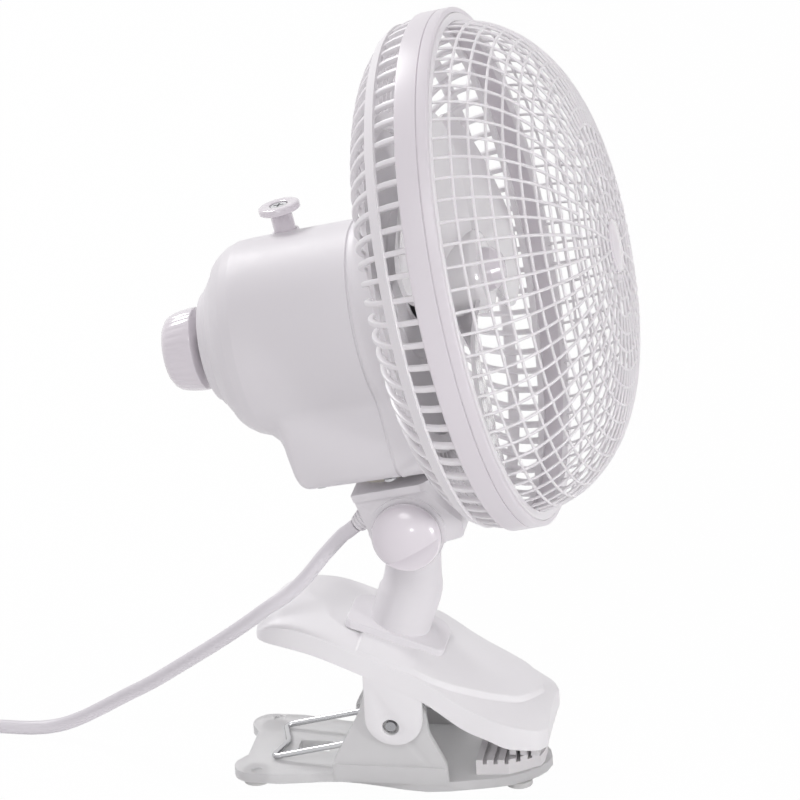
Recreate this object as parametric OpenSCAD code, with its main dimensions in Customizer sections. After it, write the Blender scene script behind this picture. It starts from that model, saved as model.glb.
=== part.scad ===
// Oscillating clip fan: a six-inch fan head on a sprung clip, standing on a table.
// +X is the way the fan blows, +Z is up, and z = 0 is the surface under the rubber feet.

/* [Guard] */
// Outer radius of the guard ring
guard_r = 93; // [90:1:98]
// Width of the guard ring's band
band_w = 11.6; // [10:0.2:14]
// Number of ribs in the rear guard
rear_ribs = 72; // [36:12:84]
// Number of ribs in the front guard
front_ribs = 36; // [24:6:48]
// Number of rings in the front guard
front_rings = 6; // [4:1:7]
// Depth of the front dome
dome_depth = 43.3; // [35:0.1:50]
// Thickness of the guard ribs
rib_t = 2; // [1.6:0.2:2.6]

/* [Housing] */
// Radius of the motor housing
housing_r = 36; // [35:0.5:38]
// Wall of the housing shells
wall = 2.2; // [1.8:0.1:2.6]
// How far the housing's axis lies below the fan's axis
axis_drop = 10.3; // [9.5:0.1:11]
// Half of the belly's width
belly_half = 29; // [28:0.5:31]
// Radius of the mouth that carries the rear guard
mouth_r = 59.3; // [57:0.1:61]

/* [Drive] */
// Radius of the motor shaft
shaft_r = 3; // [2.5:0.1:3.2]
// Radial clearance of a running fit
fit = 0.05; // [0.02:0.01:0.08]
// Radius of the swing pivot post
post_r = 6; // [5:0.25:6.5]
// Teeth on the worm wheel
wheel_teeth = 36; // [36:36:36]
// Tip radius of the fan blades
blade_r = 74; // [66:1:76]

/* [Tilt] */
// Upward tilt of the head at rest
pitch = 12; // [6:1:14]
// Height of the tilt axis above the table
tilt_z = 104; // [102:0.5:108]
// Radius of the tilt bolt
bolt_r = 3; // [2.5:0.25:3.5]
// Radius of the tilt knob
tilt_knob_r = 12.8; // [11:0.2:14]
// Half of the bracket's width
bracket_half = 20; // [18:0.5:22]

/* [Clip] */
// Half of the plate's width at the tail
plate_half = 24.4; // [23.8:0.2:25]
// Thickness of the lower jaw's plate
plate_t = 4; // [3:0.25:5]
// Height of the rubber feet
foot_h = 2; // [1.5:0.25:3]
// Half of the upper jaw's width
jaw_half = 28; // [27.6:0.1:29]
// Wall of the upper jaw
jaw_wall = 2.6; // [2:0.1:3]
// Radius of the pivot pin
pin_r = 1.9; // [1.5:0.1:2.4]
// Diameter of the spring's wire
wire_d = 2.2; // [1.8:0.1:2.6]

/* [Cord] */
// Diameter of the cord
cord_d = 5.3; // [5:0.1:5.5]
// Radius of the plug's pins
plug_pin_r = 2; // [1.9:0.05:2.1]
// Length of the plug's pins
plug_pin_len = 19; // [18:0.5:20]

/* [Hidden] */
$fn = 64;
// The fan's own frame: its origin is the centre of the guard ring's front edge, +X along the fan's axis
tilt_x = 3.5;
ring_ahead = 54;
ring_above = 87;
swing_n = -60;
seam_n = -49.2;
mouth_n = -34.3;
belly_rear_n = -87.5;
// The belly's floor, measured up from the tilt axis
belly_floor = 23;
belly_low = belly_floor - ring_above;
body_rear_n = -94;
back_n = -111;
// Heights above the tilt axis, in the fan's frame
bracket_top = 18.2;
washer_t = 1.6;
run_gap = 0.2;
boss_top = 26;
post_top = 28;
lever_t = 2.5;
screw_head_t = 2;
gear_base = 33.2;
gear_t = 3;
plate_base = 38;
gear_plate_t = 2.5;
// Gear train: module, teeth and centres
gear_m = 0.6;
pinion_teeth = 10;
crank_teeth = 40;
worm_pitch_r = 3;
worm_m = 0.5;
wheel_r = worm_m * wheel_teeth / 2;
wheel_t = 3;
knob_n = -77.2;
knob_y = worm_pitch_r + wheel_r;
crank_n = -71;
gear_reach = gear_m * (pinion_teeth + crank_teeth) / 2;
crank_y = knob_y - sqrt(pow(gear_reach, 2) - pow(crank_n - knob_n, 2));
crank_pin_at = 8;
crank_pin_r = 1.5;
clutch_r = 1.5;
knob_top = 34.3;
knob_cap_r = 7.6;
// Motor
stator_n = [-64, -50];
rotor_r = 11.2;
rotor_gap = 0.3;
bracket_t = 1.5;
bush_r = 5;
front_bracket_n = -47.8;
rear_bracket_n = -67.5;
worm_n = [-84, -71];
hub_n = [-27, -6];
hub_r = 15;
// Speed switch and knob on the housing's axis
switch_n = [-106, -94];
speed_knob_n = [-128.4, -115.2];
speed_knob_r = 15.3;
switch_shaft_r = 3;
// Clip
pivot = [-4.5, 29.5];
ear_r = 10.8;
ear_shift = [1.2, 3.6];
ear_t = 2.5;
lower_ear_t = 2.6;
plate_top = foot_h + plate_t;
plate_tail = -66.5;
plate_nose = 51.5;
pad_x = [25, 49];
pad_h = 6;
neck_r = 11.6;
neck_lean = 18;
neck_foot = [-5.3, 56.2];
neck_bend = [0.1, 72.7];
neck_top_r = 9.2;
knuckle_r = 12;
knuckle_w = 14;
cheek_gap = 0.3;
// Cord: its route, its coil and its plug
cord_y = -13.5;
gland_at = [-14.7, 7];
gland_angle = 31;
gland_len = 20;
gland_out = 5;
gland_r = 4.2;
coil_at = [-214, -30.7];
coil_r = 40.7;
coil_turns = 3;
coil_pitch = cord_d + 0.6;
coil_tuck = 0.7;
tie_t = 0.7;
coil_z = cord_d / 2 + tie_t + 0.05;
cord_route = [[-16.5, -13.5, 104], [-19.5, -13.5, 101.5], [-22, -13.5, 99.5], [-29, -13.5, 91.5],
    [-35.7, -15.3, 83.3], [-42.3, -17.2, 77], [-50, -18.5, 71.8], [-60, -16.5, 63.3],
    [-71.8, -12.6, 53.5], [-85.6, -6.8, 42.2], [-100.5, 0, 30], [-112, 4, 22], [-123.5, 7.5, 14],
    [-133, 9.2, 8.2], [-142, 10, 4.4], [-152, 10, 2.8], [-165, 10, 2.75], [-180, 10, 2.85], [-195, 10, 3.2],
    [-208, 10, 3.4]];

// Points on an arc
function arc(at, r, from, to, steps = 8) =
    [for (i = [0:steps]) at + r * [cos(from + (to - from) * i / steps), sin(from + (to - from) * i / steps)]];

// Straight blend between two values
function mix(a, b, t) = a + (b - a) * t;

// Value of a table of [place, value] pairs at x, straight between the pairs
function table(pairs, x, i = 0) =
    x <= pairs[0][0] ? pairs[0][1]
    : i >= len(pairs) - 1 ? pairs[len(pairs) - 1][1]
    : x <= pairs[i + 1][0]
        ? mix(pairs[i][1], pairs[i + 1][1], (x - pairs[i][0]) / (pairs[i + 1][0] - pairs[i][0]))
        : table(pairs, x, i + 1);

function unit(v) = v / norm(v);

// Smooth curve through hand-chosen points, with some steps from each to the next
function smooth(points, steps) = [
    for (i = [0:len(points) - 2])
        let (a = points[max(i - 1, 0)], b = points[i], c = points[i + 1])
        let (d = points[min(i + 2, len(points) - 1)])
        for (k = [0:steps - 1])
            let (t = k / steps)
            b + 0.5 * t * ((c - a) + t * ((2 * a - 5 * b + 4 * c - d) + t * (3 * (b - c) + d - a))),
    points[len(points) - 1]];

// Faces of a grid of loops, each face a pair of triangles
function wall_faces(count, size, closed) = [
    for (i = [0:count - (closed ? 1 : 2)], j = [0:size - 1])
        let (a = i * size + j, b = i * size + (j + 1) % size, k = ((i + 1) % count) * size)
        let (c = k + (j + 1) % size, d = k + j)
        each [[a, d, c], [a, c, b]]];

// A solid skinned over loops of points, which turn left seen from the last loop
module loft(loops, closed = false) {
    size = len(loops[0]);
    half = floor(size / 2);
    last = (len(loops) - 1) * size;
    caps = closed ? [] : [
        for (j = [0:half - 2])
            let (a = j, b = j + 1, c = size - 2 - j, d = size - 1 - j)
            each [[a, b, c], [a, c, d], [last + a, last + c, last + b], [last + a, last + d, last + c]]];
    polyhedron([for (loop = loops) each loop], concat(wall_faces(len(loops), size, closed), caps));
}

// Tangent of a path at one of its points
function tangent(path, i) = unit(path[min(i + 1, len(path) - 1)] - path[max(i - 1, 0)]);

// A round tube along a path that is never parallel to ref
module tube(path, r, sides, ref = [0, 0, 1]) loft([
    for (i = [0:len(path) - 1])
        let (t = tangent(path, i), e = unit(cross(ref, t)), f = cross(t, e))
        [for (j = [0:sides - 1]) path[i] + r * (cos(360 * j / sides) * e + sin(360 * j / sides) * f)]]);

// Least gap between turns of a tube that lie at least skip points apart
function least_gap(path, d, skip) =
    min([for (i = [0:len(path) - 1 - skip], j = [i + skip:len(path) - 1]) norm(path[i] - path[j])]) - d;

// The tilt axis's frame, then the fan's frame, then the housing's axis
module at_tilt() translate([tilt_x, 0, tilt_z]) rotate([0, -pitch, 0]) children();
module at_head() at_tilt() translate([ring_ahead, 0, ring_above]) children();
module on_axis() at_head() translate([0, 0, -axis_drop]) children();

// A turned solid about the fan's axis, from [place along the axis, radius] points
module turned(points) rotate([0, 90, 0]) rotate_extrude($fn = 96) polygon([for (p = points) [p[1], p[0]]]);

// A cylinder along X between two places
module rod(from, to, r) translate([from, 0, 0]) rotate([0, 90, 0]) cylinder(r = r, h = to - from);

// A cylinder along Y between two places
module cross_rod(from, to, r) translate([0, from, 0]) rotate([-90, 0, 0]) cylinder(r = r, h = to - from);

// A side outline given in X and Z, from one y to another
module side(from, to) translate([0, to, 0]) rotate([90, 0, 0]) linear_extrude(to - from) children();

// Upper jaw: half-width, crown and skirt edge along its length
jaw_places = [-56.5, -55.5, -53.5, -50, -45, -38, -31, -22, -12, 0, 12, 22, 32, 38, 43, 47, 50, 51.8, 52.5];
jaw_side = [[-56.5, 0.4], [-55.5, 0.55], [-53.5, 0.66], [-50, 0.76], [-45, 0.84], [-38, 0.91], [-28, 0.97],
    [-15, 1], [25, 1], [38, 0.95], [47, 0.82], [50, 0.74], [52.5, 0.6]];
jaw_crown = [[-56.5, 61], [-55.5, 63.4], [-53.5, 66], [-50, 68.2], [-45, 69.4], [-25, 64.8], [11, 53],
    [37, 41], [47, 36], [50, 34], [51.8, 31.5], [52.5, 28]];
jaw_edge = [[-56.5, 58.2], [-45, 58.6], [-31, 56.5], [-12, 49.4], [8, 40.4], [22, 30.3], [32, 25.4],
    [38, 22.2], [52.5, 19]];
jaw_hollow = [[-56.5, 0.1], [-54, 0.5], [-50, 1], [47, 1], [50, 0.4], [52.5, 0.1]];
jaw_steps = 16;
jaw_round = 3.4;

// One arch of the jaw at x, drawn in by a wall
function jaw_arch(x, inset) =
    let (w = jaw_half * table(jaw_side, x) - inset, low = table(jaw_edge, x))
    let (rise = table(jaw_crown, x) - low)
    let (h = inset > 0 ? 1 + (rise - inset - 1) * table(jaw_hollow, x) : rise)
    [for (k = [0:jaw_steps])
        let (a = 180 * k / jaw_steps, c = cos(a), s = sin(a))
        [x, w * sign(c) * pow(abs(c), 2 / jaw_round), low + h * pow(abs(s), 2 / jaw_round)]];
function backward(list) = [for (i = [len(list) - 1:-1:0]) list[i]];

// Round lobe at the bottom of an upper ear, joined to the skirt above it
module upper_ear_outline() {
    translate(pivot + ear_shift) circle(ear_r);
    translate([pivot[0] + ear_shift[0] - ear_r, pivot[1] + ear_shift[1]]) square([2 * ear_r, ear_r]);
}

module upper_jaw() color("whitesmoke") difference() {
    union() {
        loft([for (x = jaw_places) concat(jaw_arch(x, 0), backward(jaw_arch(x, jaw_wall)))]);
        for (from = [-jaw_half, jaw_half - ear_t]) side(from, from + ear_t) upper_ear_outline();
    }
    translate([pivot[0], 0, pivot[1]]) {
        cross_rod(-jaw_half - 1, jaw_half + 1, pin_r + fit);
        for (s = [-1, 1]) translate([0, s * jaw_half, 0]) cross_rod(-0.8, 0.8, pin_r + 1.2);
    }
}

// A bar of square teeth along X, from the base height to the tooth tips
module teeth(from, to, base, tip, count) {
    step = (to - from) / count;
    polygon(concat([[to, base], [from, base]], [
        for (i = [0:count - 1]) each [[from + step * i, tip], [from + step * (i + 0.6), tip],
            [from + step * (i + 0.6), mix(tip, base, 0.3)], [from + step * (i + 1), mix(tip, base, 0.3)]]]));
}

pad_tooth_count = 6;
bite_gap = 0.6;
upper_pad_half = 13;
lower_pad_top = plate_top + pad_h;
module upper_grip_pad() color("gainsboro")
    side(-upper_pad_half, upper_pad_half)
        teeth(37, 49, 21.5, lower_pad_top + bite_gap, 3);

module along_neck() translate([neck_foot[0], 0, neck_foot[1]]) rotate([0, neck_lean, 0]) children();
neck_rise = norm(neck_bend - neck_foot);
upper_reach = norm([tilt_x, tilt_z] - neck_bend);
upper_lean = atan2(tilt_x - neck_bend[0], tilt_z - neck_bend[1]);
collar_at = 1.8;
collar_h = 3.2;
collar_r = 19;
stub_r = 6;
stub_low = -6;
module neck() color("whitesmoke") difference() {
    union() {
        along_neck() {
            translate([0, 0, collar_at]) cylinder(r1 = collar_r, r2 = collar_r - 1, h = collar_h);
            cylinder(r = neck_r, h = neck_rise);
            translate([0, 0, stub_low]) cylinder(r = stub_r, h = 1 - stub_low);
        }
        translate([neck_bend[0], 0, neck_bend[1]]) {
            sphere(r = neck_r + 0.3);
            rotate([0, upper_lean, 0])
                cylinder(r1 = neck_r, r2 = neck_top_r, h = upper_reach - knuckle_r / 2);
        }
        translate([tilt_x, 0, tilt_z]) cross_rod(-knuckle_w / 2, knuckle_w / 2, knuckle_r);
    }
    translate([tilt_x, 0, tilt_z]) {
        cross_rod(-knuckle_w, knuckle_w, bolt_r + fit);
        for (s = [-1, 1]) translate([0, s * knuckle_w, 0])
            cross_rod(-knuckle_w / 2, knuckle_w / 2, knuckle_r + 4);
    }
}

neck_screw_r = 5;
module neck_screw() color("silver") along_neck() difference() {
    translate([0, 0, stub_low - 2.5]) cylinder(r = neck_screw_r, h = 2.5);
    translate([0, 0, stub_low - 2.6]) for (a = [0, 90]) rotate(a) translate([-3, -0.5, 0]) cube([6, 1, 1.2]);
}

// Half of the lower jaw's outline, from the tail's notch to the nose
lobe_r = 7.5;
plate_edge = concat(
    [[plate_tail + 3.5, 0], [plate_tail + 3.5, plate_half - 2 * lobe_r]],
    arc([plate_tail + lobe_r, plate_half - lobe_r], lobe_r, 200, 90, 6),
    [[-45, plate_half], [-27, plate_half - 1], [-10, plate_half], [8, plate_half + 1], [22, plate_half - 2]],
    arc([plate_nose - 10, 10], 10, 55, 0, 6), [[plate_nose, 0]]);
module plate_outline() for (s = [0, 1]) mirror([0, s]) polygon(plate_edge);

ear_outer = jaw_half - ear_t - 0.3;
lower_ear_edge = [[-27.5, plate_top - 1], [-27.5, 12.5], [-17, 33], [-13, 46], [-4, 46], [8, 36.5],
    [9, 26], [14.5, 13.5], [15, plate_top - 1]];
slot_half = 4;
module lower_jaw() color("whitesmoke") difference() {
    union() {
        translate([0, 0, foot_h]) linear_extrude(plate_t) plate_outline();
        for (from = [-ear_outer, ear_outer - lower_ear_t])
            side(from, from + lower_ear_t) polygon(lower_ear_edge);
    }
    translate([pivot[0], 0, pivot[1]]) cross_rod(-jaw_half, jaw_half, pin_r);
    translate([-46, -slot_half, 0]) cube([13, 2 * slot_half, plate_top + 1]);
    for (s = [-1, 1]) translate([-57.2, s * 21.2, plate_top - 0.8]) cylinder(r = 2.2, h = 2);
}

module lower_grip_pad() color("gainsboro") intersection() {
    side(-plate_half, plate_half) teeth(pad_x[0], pad_x[1], plate_top, lower_pad_top, pad_tooth_count);
    translate([0, 0, plate_top - 1]) linear_extrude(pad_h + 2) intersection() {
        polygon([[20, -18], [37, -16], [48, -8], [50, 0], [48, 8], [37, 16], [20, 18]]);
        plate_outline();
    }
}

foot_r = 5;
module rubber_feet() color("lightgray")
    for (at = [[-58, 18], [40, 11]], s = [-1, 1])
        translate([at[0], s * at[1], 0]) cylinder(r = foot_r, h = foot_h);

module pivot_pin() color("silver") translate([pivot[0], 0, pivot[1]])
    cross_rod(-jaw_half + 0.9, jaw_half - 0.9, pin_r);

// Half of the torsion spring: from the tail loop along an arm, round the coil and up under the crown
spring_r = 10;
spring_y = 13;
spring_pitch = wire_d + 0.5;
spring_z = plate_top + wire_d / 2 + 0.2;
spring_tail = [-52.7, spring_z];
spring_end = [-36, 61.5];
function bearing(from, to) = atan2(to[1] - from[1], to[0] - from[0]);
arm_angle = bearing(spring_tail, pivot) - asin(spring_r / norm(pivot - spring_tail));
coil_from = arm_angle - 90;
end_angle = bearing(pivot, spring_end) - acos(spring_r / norm(spring_end - pivot));
coil_to = end_angle + 720;
coil_rings = 19;
spring_half = concat(
    [[spring_tail[0] + 3.4, 0, spring_z], [spring_tail[0] + 1.6, spring_y * 0.55, spring_z],
        [spring_tail[0] + 0.4, spring_y - 1.4, spring_z], [spring_tail[0] + 2.4, spring_y, spring_z + 0.3]],
    [for (i = [0:coil_rings])
        let (t = i / coil_rings, a = mix(coil_from, coil_to, t))
        [pivot[0] + spring_r * cos(a), spring_y + spring_pitch * t * (coil_to - coil_from) / 360,
            pivot[1] + spring_r * sin(a)]],
    [let (y = spring_y + spring_pitch * (coil_to - coil_from) / 360)
        each [[mix(pivot[0], spring_end[0], 0.6), y, mix(pivot[1] + 12, spring_end[1], 0.6)],
            [spring_end[0], y, spring_end[1]]]]);
spring_path = concat(backward([for (p = spring_half) [p[0], -p[1], p[2]]]),
    [for (i = [1:len(spring_half) - 1]) spring_half[i]]);
module torsion_spring() color("silver") {
    echo(spring_gap = least_gap(spring_path, wire_d, 5));
    tube(spring_path, wire_d / 2, 6, [1, 1, 1]);
}

// Swivel bracket in the tilt axis's frame: two cheeks under one bridge
cheek_r = 13.5;
bracket_edge = concat([[-16.8, bracket_top]], arc([0, 0], cheek_r, 195, 335, 10),
    [[20.5, -7], [21, bracket_top]]);
slot_half_w = knuckle_w / 2 + cheek_gap;
slot_top = knuckle_r + 1;
module along_gland()
    translate([gland_at[0], cord_y, gland_at[1]]) rotate([0, -90 - gland_angle, 0]) children();
// The space under the swinging guard, as [distance from the swing's axis, height above the tilt axis]
under_guard = [[0, -bracket_half], [33, -bracket_half], [33, 0.5], [29.6, 5.4], [27.2, 10.4], [24.8, 16],
    [24.8, bracket_top], [0, bracket_top]];
module swivel_bracket() color("whitesmoke") at_tilt() difference() {
    intersection() {
        side(-bracket_half, bracket_half) polygon(bracket_edge);
        translate([ring_ahead + swing_n, 0, 0]) rotate_extrude($fn = 96) polygon(under_guard);
    }
    side(-slot_half_w, slot_half_w)
        polygon([[-40, -40], [40, -40], [40, 6], [14, slot_top], [-14, slot_top], [-40, 6]]);
    cross_rod(-bracket_half - 1, bracket_half + 1, bolt_r + fit);
    translate([0, bracket_half - 2.5, 0]) rotate([-90, 0, 0]) cylinder(r = nut_r, h = 4, $fn = 6);
    along_gland() translate([0, 0, gland_out - gland_len]) cylinder(r = gland_r, h = gland_len);
}

nut_r = 5.8;
nut_t = 4.5;
module tilt_nut() color("silver") at_tilt() difference() {
    translate([0, bracket_half - 2.5, 0]) rotate([-90, 0, 0]) cylinder(r = nut_r - 0.1, h = nut_t, $fn = 6);
    cross_rod(0, bracket_half + nut_t, bolt_r + fit);
}

// Tapered strain relief, which carries the cord out of the near cheek
module cord_gland() color("whitesmoke") at_tilt() along_gland() {
    translate([0, 0, gland_out - gland_len]) cylinder(r = gland_r, h = gland_len - gland_out);
    cylinder(r1 = gland_r, r2 = cord_d / 2 + 0.5, h = gland_out);
}

module at_swing() at_tilt() translate([ring_ahead + swing_n, 0, 0]) children();
module pivot_post() color("gainsboro") at_swing() translate([0, 0, bracket_top])
    cylinder(r = post_r, h = post_top - bracket_top);
module thrust_washer() color("ivory") at_swing() translate([0, 0, bracket_top]) difference() {
    cylinder(r = post_r + 5, h = washer_t);
    translate([0, 0, -1]) cylinder(r = post_r + fit, h = washer_t + 2);
}

// Slotted lever on the post: the crank pin slides in its slot
crank_reach = norm([crank_n - swing_n, crank_y]);
lever_angle = atan2(crank_y, crank_n - swing_n);
slot_play = 0.45;
// The pin slides from its far place, in line with the lever, to its places at the ends of the swing
slot_end = 0.6;
slot_from = norm([crank_reach, crank_pin_at]) - slot_end;
slot_to = crank_reach + crank_pin_at + slot_end;
lever_wall = 1.8;
lever_half = 4.5;
lever_end = slot_to + crank_pin_r + lever_wall;
slot_side = crank_pin_r + slot_play;
module swing_lever() color("gainsboro") at_swing() rotate(lever_angle) translate([0, 0, post_top])
    linear_extrude(lever_t) difference() {
        union() {
            circle(post_r + 1);
            translate([0, -lever_half]) square([lever_end - lever_half, 2 * lever_half]);
            translate([lever_end - lever_half, 0]) circle(lever_half);
        }
        translate([slot_from, -slot_side]) square([slot_to - slot_from, 2 * slot_side]);
        for (x = [slot_from, slot_to]) translate([x, 0]) circle(slot_side);
    }
module lever_screw() color("silver") at_swing() translate([0, 0, post_top + lever_t]) difference() {
    cylinder(r = 4, h = screw_head_t);
    translate([-2.5, -0.5, screw_head_t - 0.8]) cube([5, 1, 1]);
}

// Tilt knob: a round dome with a lower step below a slanting chord, and its bolt through cheeks and knuckle
tilt_knob_t = 9;
knob_skirt = 2.5;
step_drop = 5.5;
step_slant = 20;
step_t = 5;
knob_out = bracket_half + 0.4;
knob_dome = concat([[0, 0], [tilt_knob_r - 1, 0], [tilt_knob_r, 1]],
    [for (a = [0:15:90]) [tilt_knob_r * cos(a), knob_skirt + (tilt_knob_t - knob_skirt) * sin(a)]]);
module at_knob() at_tilt() translate([0, -knob_out, 0]) rotate([90, 0, 0]) children();
module tilt_knob() color("whitesmoke") at_knob() difference() {
    rotate_extrude($fn = 96) polygon(knob_dome);
    rotate(step_slant - pitch) translate([-tilt_knob_r - 1, -step_drop - 2 * tilt_knob_r, step_t])
        cube([2 * tilt_knob_r + 2, 2 * tilt_knob_r, tilt_knob_t]);
    translate([0, 0, -1]) cylinder(r = bolt_r, h = 6);
}
module tilt_bolt() color("silver") at_tilt()
    cross_rod(-knob_out - 5, bracket_half + nut_t, bolt_r);

// Rear housing: a turned shell with stepped collars and a belly below
collar_c = 106.4;
collar_b = 108.6;
// Places along the axis, and how far the shell lies inside the housing's radius there
shell_edge = [[seam_n, 0], [body_rear_n + 4, 0], [body_rear_n, 0.3], [-98, 1.7], [-102, 4.6],
    [-105, 8.6], [-collar_c, 11.2], [-collar_c, 12.8], [-collar_b, 13.6], [-collar_b, 15.2], [back_n, 16]];
function past_seam(inset) = seam_n + (inset > 0 ? 1 : 0);
function shell(inset) = concat([[past_seam(inset), 0]],
    [for (p = shell_edge) [p[0] == seam_n ? past_seam(inset) : p[0] + (p[0] < body_rear_n ? inset : 0),
        housing_r - p[1] - inset]],
    [[back_n + inset, 0]]);
// The belly's side outline in the fan's frame: a hollow scoop behind, over a rounded heel
scoop_r = 16;
heel_r = 4;
function belly_side(inset) = concat(
    [[past_seam(inset), -axis_drop], [body_rear_n + 2 * inset, -axis_drop],
        [body_rear_n + 2 * inset, belly_low + scoop_r * 1.77]],
    arc([belly_rear_n - scoop_r + inset, belly_low + scoop_r], scoop_r, 52, 0, 5),
    arc([belly_rear_n + heel_r + inset, belly_low + heel_r + 2 + inset], heel_r, 180, 262, 4),
    [[past_seam(inset), belly_low - 0.4 + inset]]);
boss_r = 9;
neck_bore_r = 5.2;
module rear_housing() color("whitesmoke") at_head() difference() {
    union() {
        difference() {
            union() {
                translate([0, 0, -axis_drop]) turned(shell(0));
                side(-belly_half, belly_half) polygon(belly_side(0));
            }
            translate([0, 0, -axis_drop]) turned(shell(wall));
            side(-belly_half + wall, belly_half - wall) polygon(belly_side(wall));
        }
        translate([swing_n, 0, -ring_above + bracket_top + washer_t + run_gap])
            cylinder(r = boss_r, h = boss_top - bracket_top - washer_t - run_gap);
    }
    translate([swing_n, 0, -ring_above]) cylinder(r = post_r + fit, h = 40);
    translate([0, 0, -axis_drop]) rod(back_n - 1, back_n + 8, neck_bore_r);
    translate([knob_n, knob_y, 0]) cylinder(r = 4.2, h = 40);
    for (s = [-1, 1], n = screw_places)
        translate([n, s * screw_side, floor_at(n) - 1]) cylinder(r = screw_r + 0.6, h = 2);
}
// Screws in the belly's floor, out of sight
screw_r = 2.4;
screw_side = belly_half - 7;
screw_places = [-79, -54];
heel_n = belly_rear_n + heel_r;
function floor_at(n) = mix(belly_low + 2, belly_low - 0.4, (n - heel_n) / (seam_n - heel_n));
module housing_screws() color("silver") at_head() for (s = [-1, 1], n = screw_places)
    translate([n, s * screw_side, floor_at(n)]) cylinder(r = screw_r, h = 1);

// Front housing: a flared shell from the seam's outline to the round mouth
belly_square = 8;
function belly_ray(a, half, low) =
    pow(pow(abs(cos(a)) / half, belly_square) + pow(abs(sin(a)) / low, belly_square), -1 / belly_square);
function seam_ray(a) =
    max(housing_r, sin(a) < 0 ? belly_ray(a, belly_half, -belly_low - axis_drop + 0.4) : 0);
function mouth_ray(a) = max(axis_drop * sin(a) + sqrt(pow(mouth_r, 2) - pow(axis_drop * cos(a), 2)),
    sin(a) < 0 ? belly_ray(a, belly_half, -belly_low - axis_drop + 1) : 0);
front_angles = 60;
front_steps = 6;
flare = 2.2;
function front_point(a, t, inset) =
    let (r = mix(seam_ray(a), mouth_ray(a), pow(t, flare)) - inset)
    [mix(seam_n, mouth_n, t), r * cos(a), r * sin(a)];
// A plate closes the mouth round the shaft
plate_bore_r = 13;
mouth_plate_t = 1;
module front_housing() color("whitesmoke") {
    on_axis() loft([
        for (k = [0:front_angles - 1])
            let (a = 360 * k / front_angles)
            concat([for (i = [front_steps:-1:0]) front_point(a, i / front_steps, 0)],
                [for (i = [0:front_steps]) front_point(a, i / front_steps, wall)])], closed = true);
    at_head() turned([[mouth_n - mouth_plate_t, plate_bore_r], [mouth_n - mouth_plate_t, mouth_r - 3.4],
        [mouth_n, mouth_r - 1.8], [mouth_n, plate_bore_r]]);
}

// A turned grille: rows of [place, radius] edges down its section, marked 1 where the row is a full ring and
// 0 where only its ribs are solid, with a thickness square to the section
function step_on(edges, i) = unit(edges[min(i + 1, len(edges) - 1)] - edges[max(i - 1, 0)]);
function behind(edges, i, thick) = edges[i] + thick * [step_on(edges, i)[1], -step_on(edges, i)[0]];
module grille(edges, rings, ribs, share, thick) {
    cols = 2 * ribs;
    rows = len(rings);
    function turn(j) = 360 * (floor(j / 2) + (j % 2) * share) / ribs;
    function solid(i, j) = i >= 0 && i < rows && (rings[i] == 1 || j % 2 == 0);
    function at(i, j, back) = (i * cols + (j + cols) % cols) * 2 + back;
    points = [for (i = [0:rows], j = [0:cols - 1], back = [0, 1])
        let (p = behind(edges, i, back * thick))
        [p[0], p[1] * cos(turn(j)), p[1] * sin(turn(j))]];
    function quad(a, b, c, d) = [[a, b, c], [a, c, d]];
    faces = [for (i = [0:rows - 1], j = [0:cols - 1]) if (solid(i, j)) each concat(
        quad(at(i, j, 0), at(i + 1, j, 0), at(i + 1, j + 1, 0), at(i, j + 1, 0)),
        quad(at(i, j, 1), at(i, j + 1, 1), at(i + 1, j + 1, 1), at(i + 1, j, 1)),
        solid(i - 1, j) ? [] : quad(at(i, j, 1), at(i, j, 0), at(i, j + 1, 0), at(i, j + 1, 1)),
        solid(i + 1, j) ? []
            : quad(at(i + 1, j, 0), at(i + 1, j, 1), at(i + 1, j + 1, 1), at(i + 1, j + 1, 0)),
        solid(i, (j + cols - 1) % cols) ? []
            : quad(at(i, j, 0), at(i, j, 1), at(i + 1, j, 1), at(i + 1, j, 0)),
        solid(i, (j + 1) % cols) ? []
            : quad(at(i, j + 1, 1), at(i, j + 1, 0), at(i + 1, j + 1, 0), at(i + 1, j + 1, 1)))];
    polyhedron(points, faces);
}

// Guard: a dished rear grille on the housing's mouth, a band, and a domed front grille
ring_t = 2;
rim_r = guard_r - ring_t - 0.15;
rim_w = 2;
dish_depth = 22.5;
rib_share = 0.32;
function dish(a) = [-band_w + rim_w / 2 - dish_depth * sin(a), mix(mouth_r + 2, rim_r - 1, cos(a))];
module rear_guard() color("whitesmoke") at_head() grille(
    concat([[-band_w + rim_w, rim_r], [-band_w + rim_w, rim_r - 2.2]], [for (a = [20, 40, 52, 90]) dish(a)],
        [[mouth_n + rim_w, mouth_r - 4]]),
    [1, 0, 0, 1, 0, 1], rear_ribs, rib_share, rim_w);

module guard_ring() color("whitesmoke") at_head() turned([[-band_w, guard_r - 0.6], [-band_w + 0.6, guard_r],
    [-0.6, guard_r], [0, guard_r - 0.6], [0, guard_r - ring_t], [-band_w, guard_r - ring_t]]);

// Higher powers give a more pointed dome along its depth and across its width
dome_deep = 1.16;
dome_wide = 0.62;
badge_r = 10;
rim_lift = 2.4;
function dome(a) = [rim_lift - rib_t + (dome_depth - rim_lift) * pow(sin(a), dome_deep),
    (rim_r - 3) * pow(cos(a), dome_wide)];
// Angle at which the dome's ribs meet the badge
dome_end = acos(pow(badge_r / (rim_r - 3), 1 / dome_wide));
ring_share = 0.3;
module front_guard() color("whitesmoke") at_head() grille(
    concat([[0, rim_r], [0.4, rim_r - 3]], [for (i = [0:front_rings - 1])
        each [dome(dome_end * (i + 1 - ring_share) / front_rings), dome(dome_end * (i + 1) / front_rings)]]),
    concat([1], [for (i = [0:front_rings - 1]) each [0, 1]]), front_ribs, rib_share, rib_t);

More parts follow.
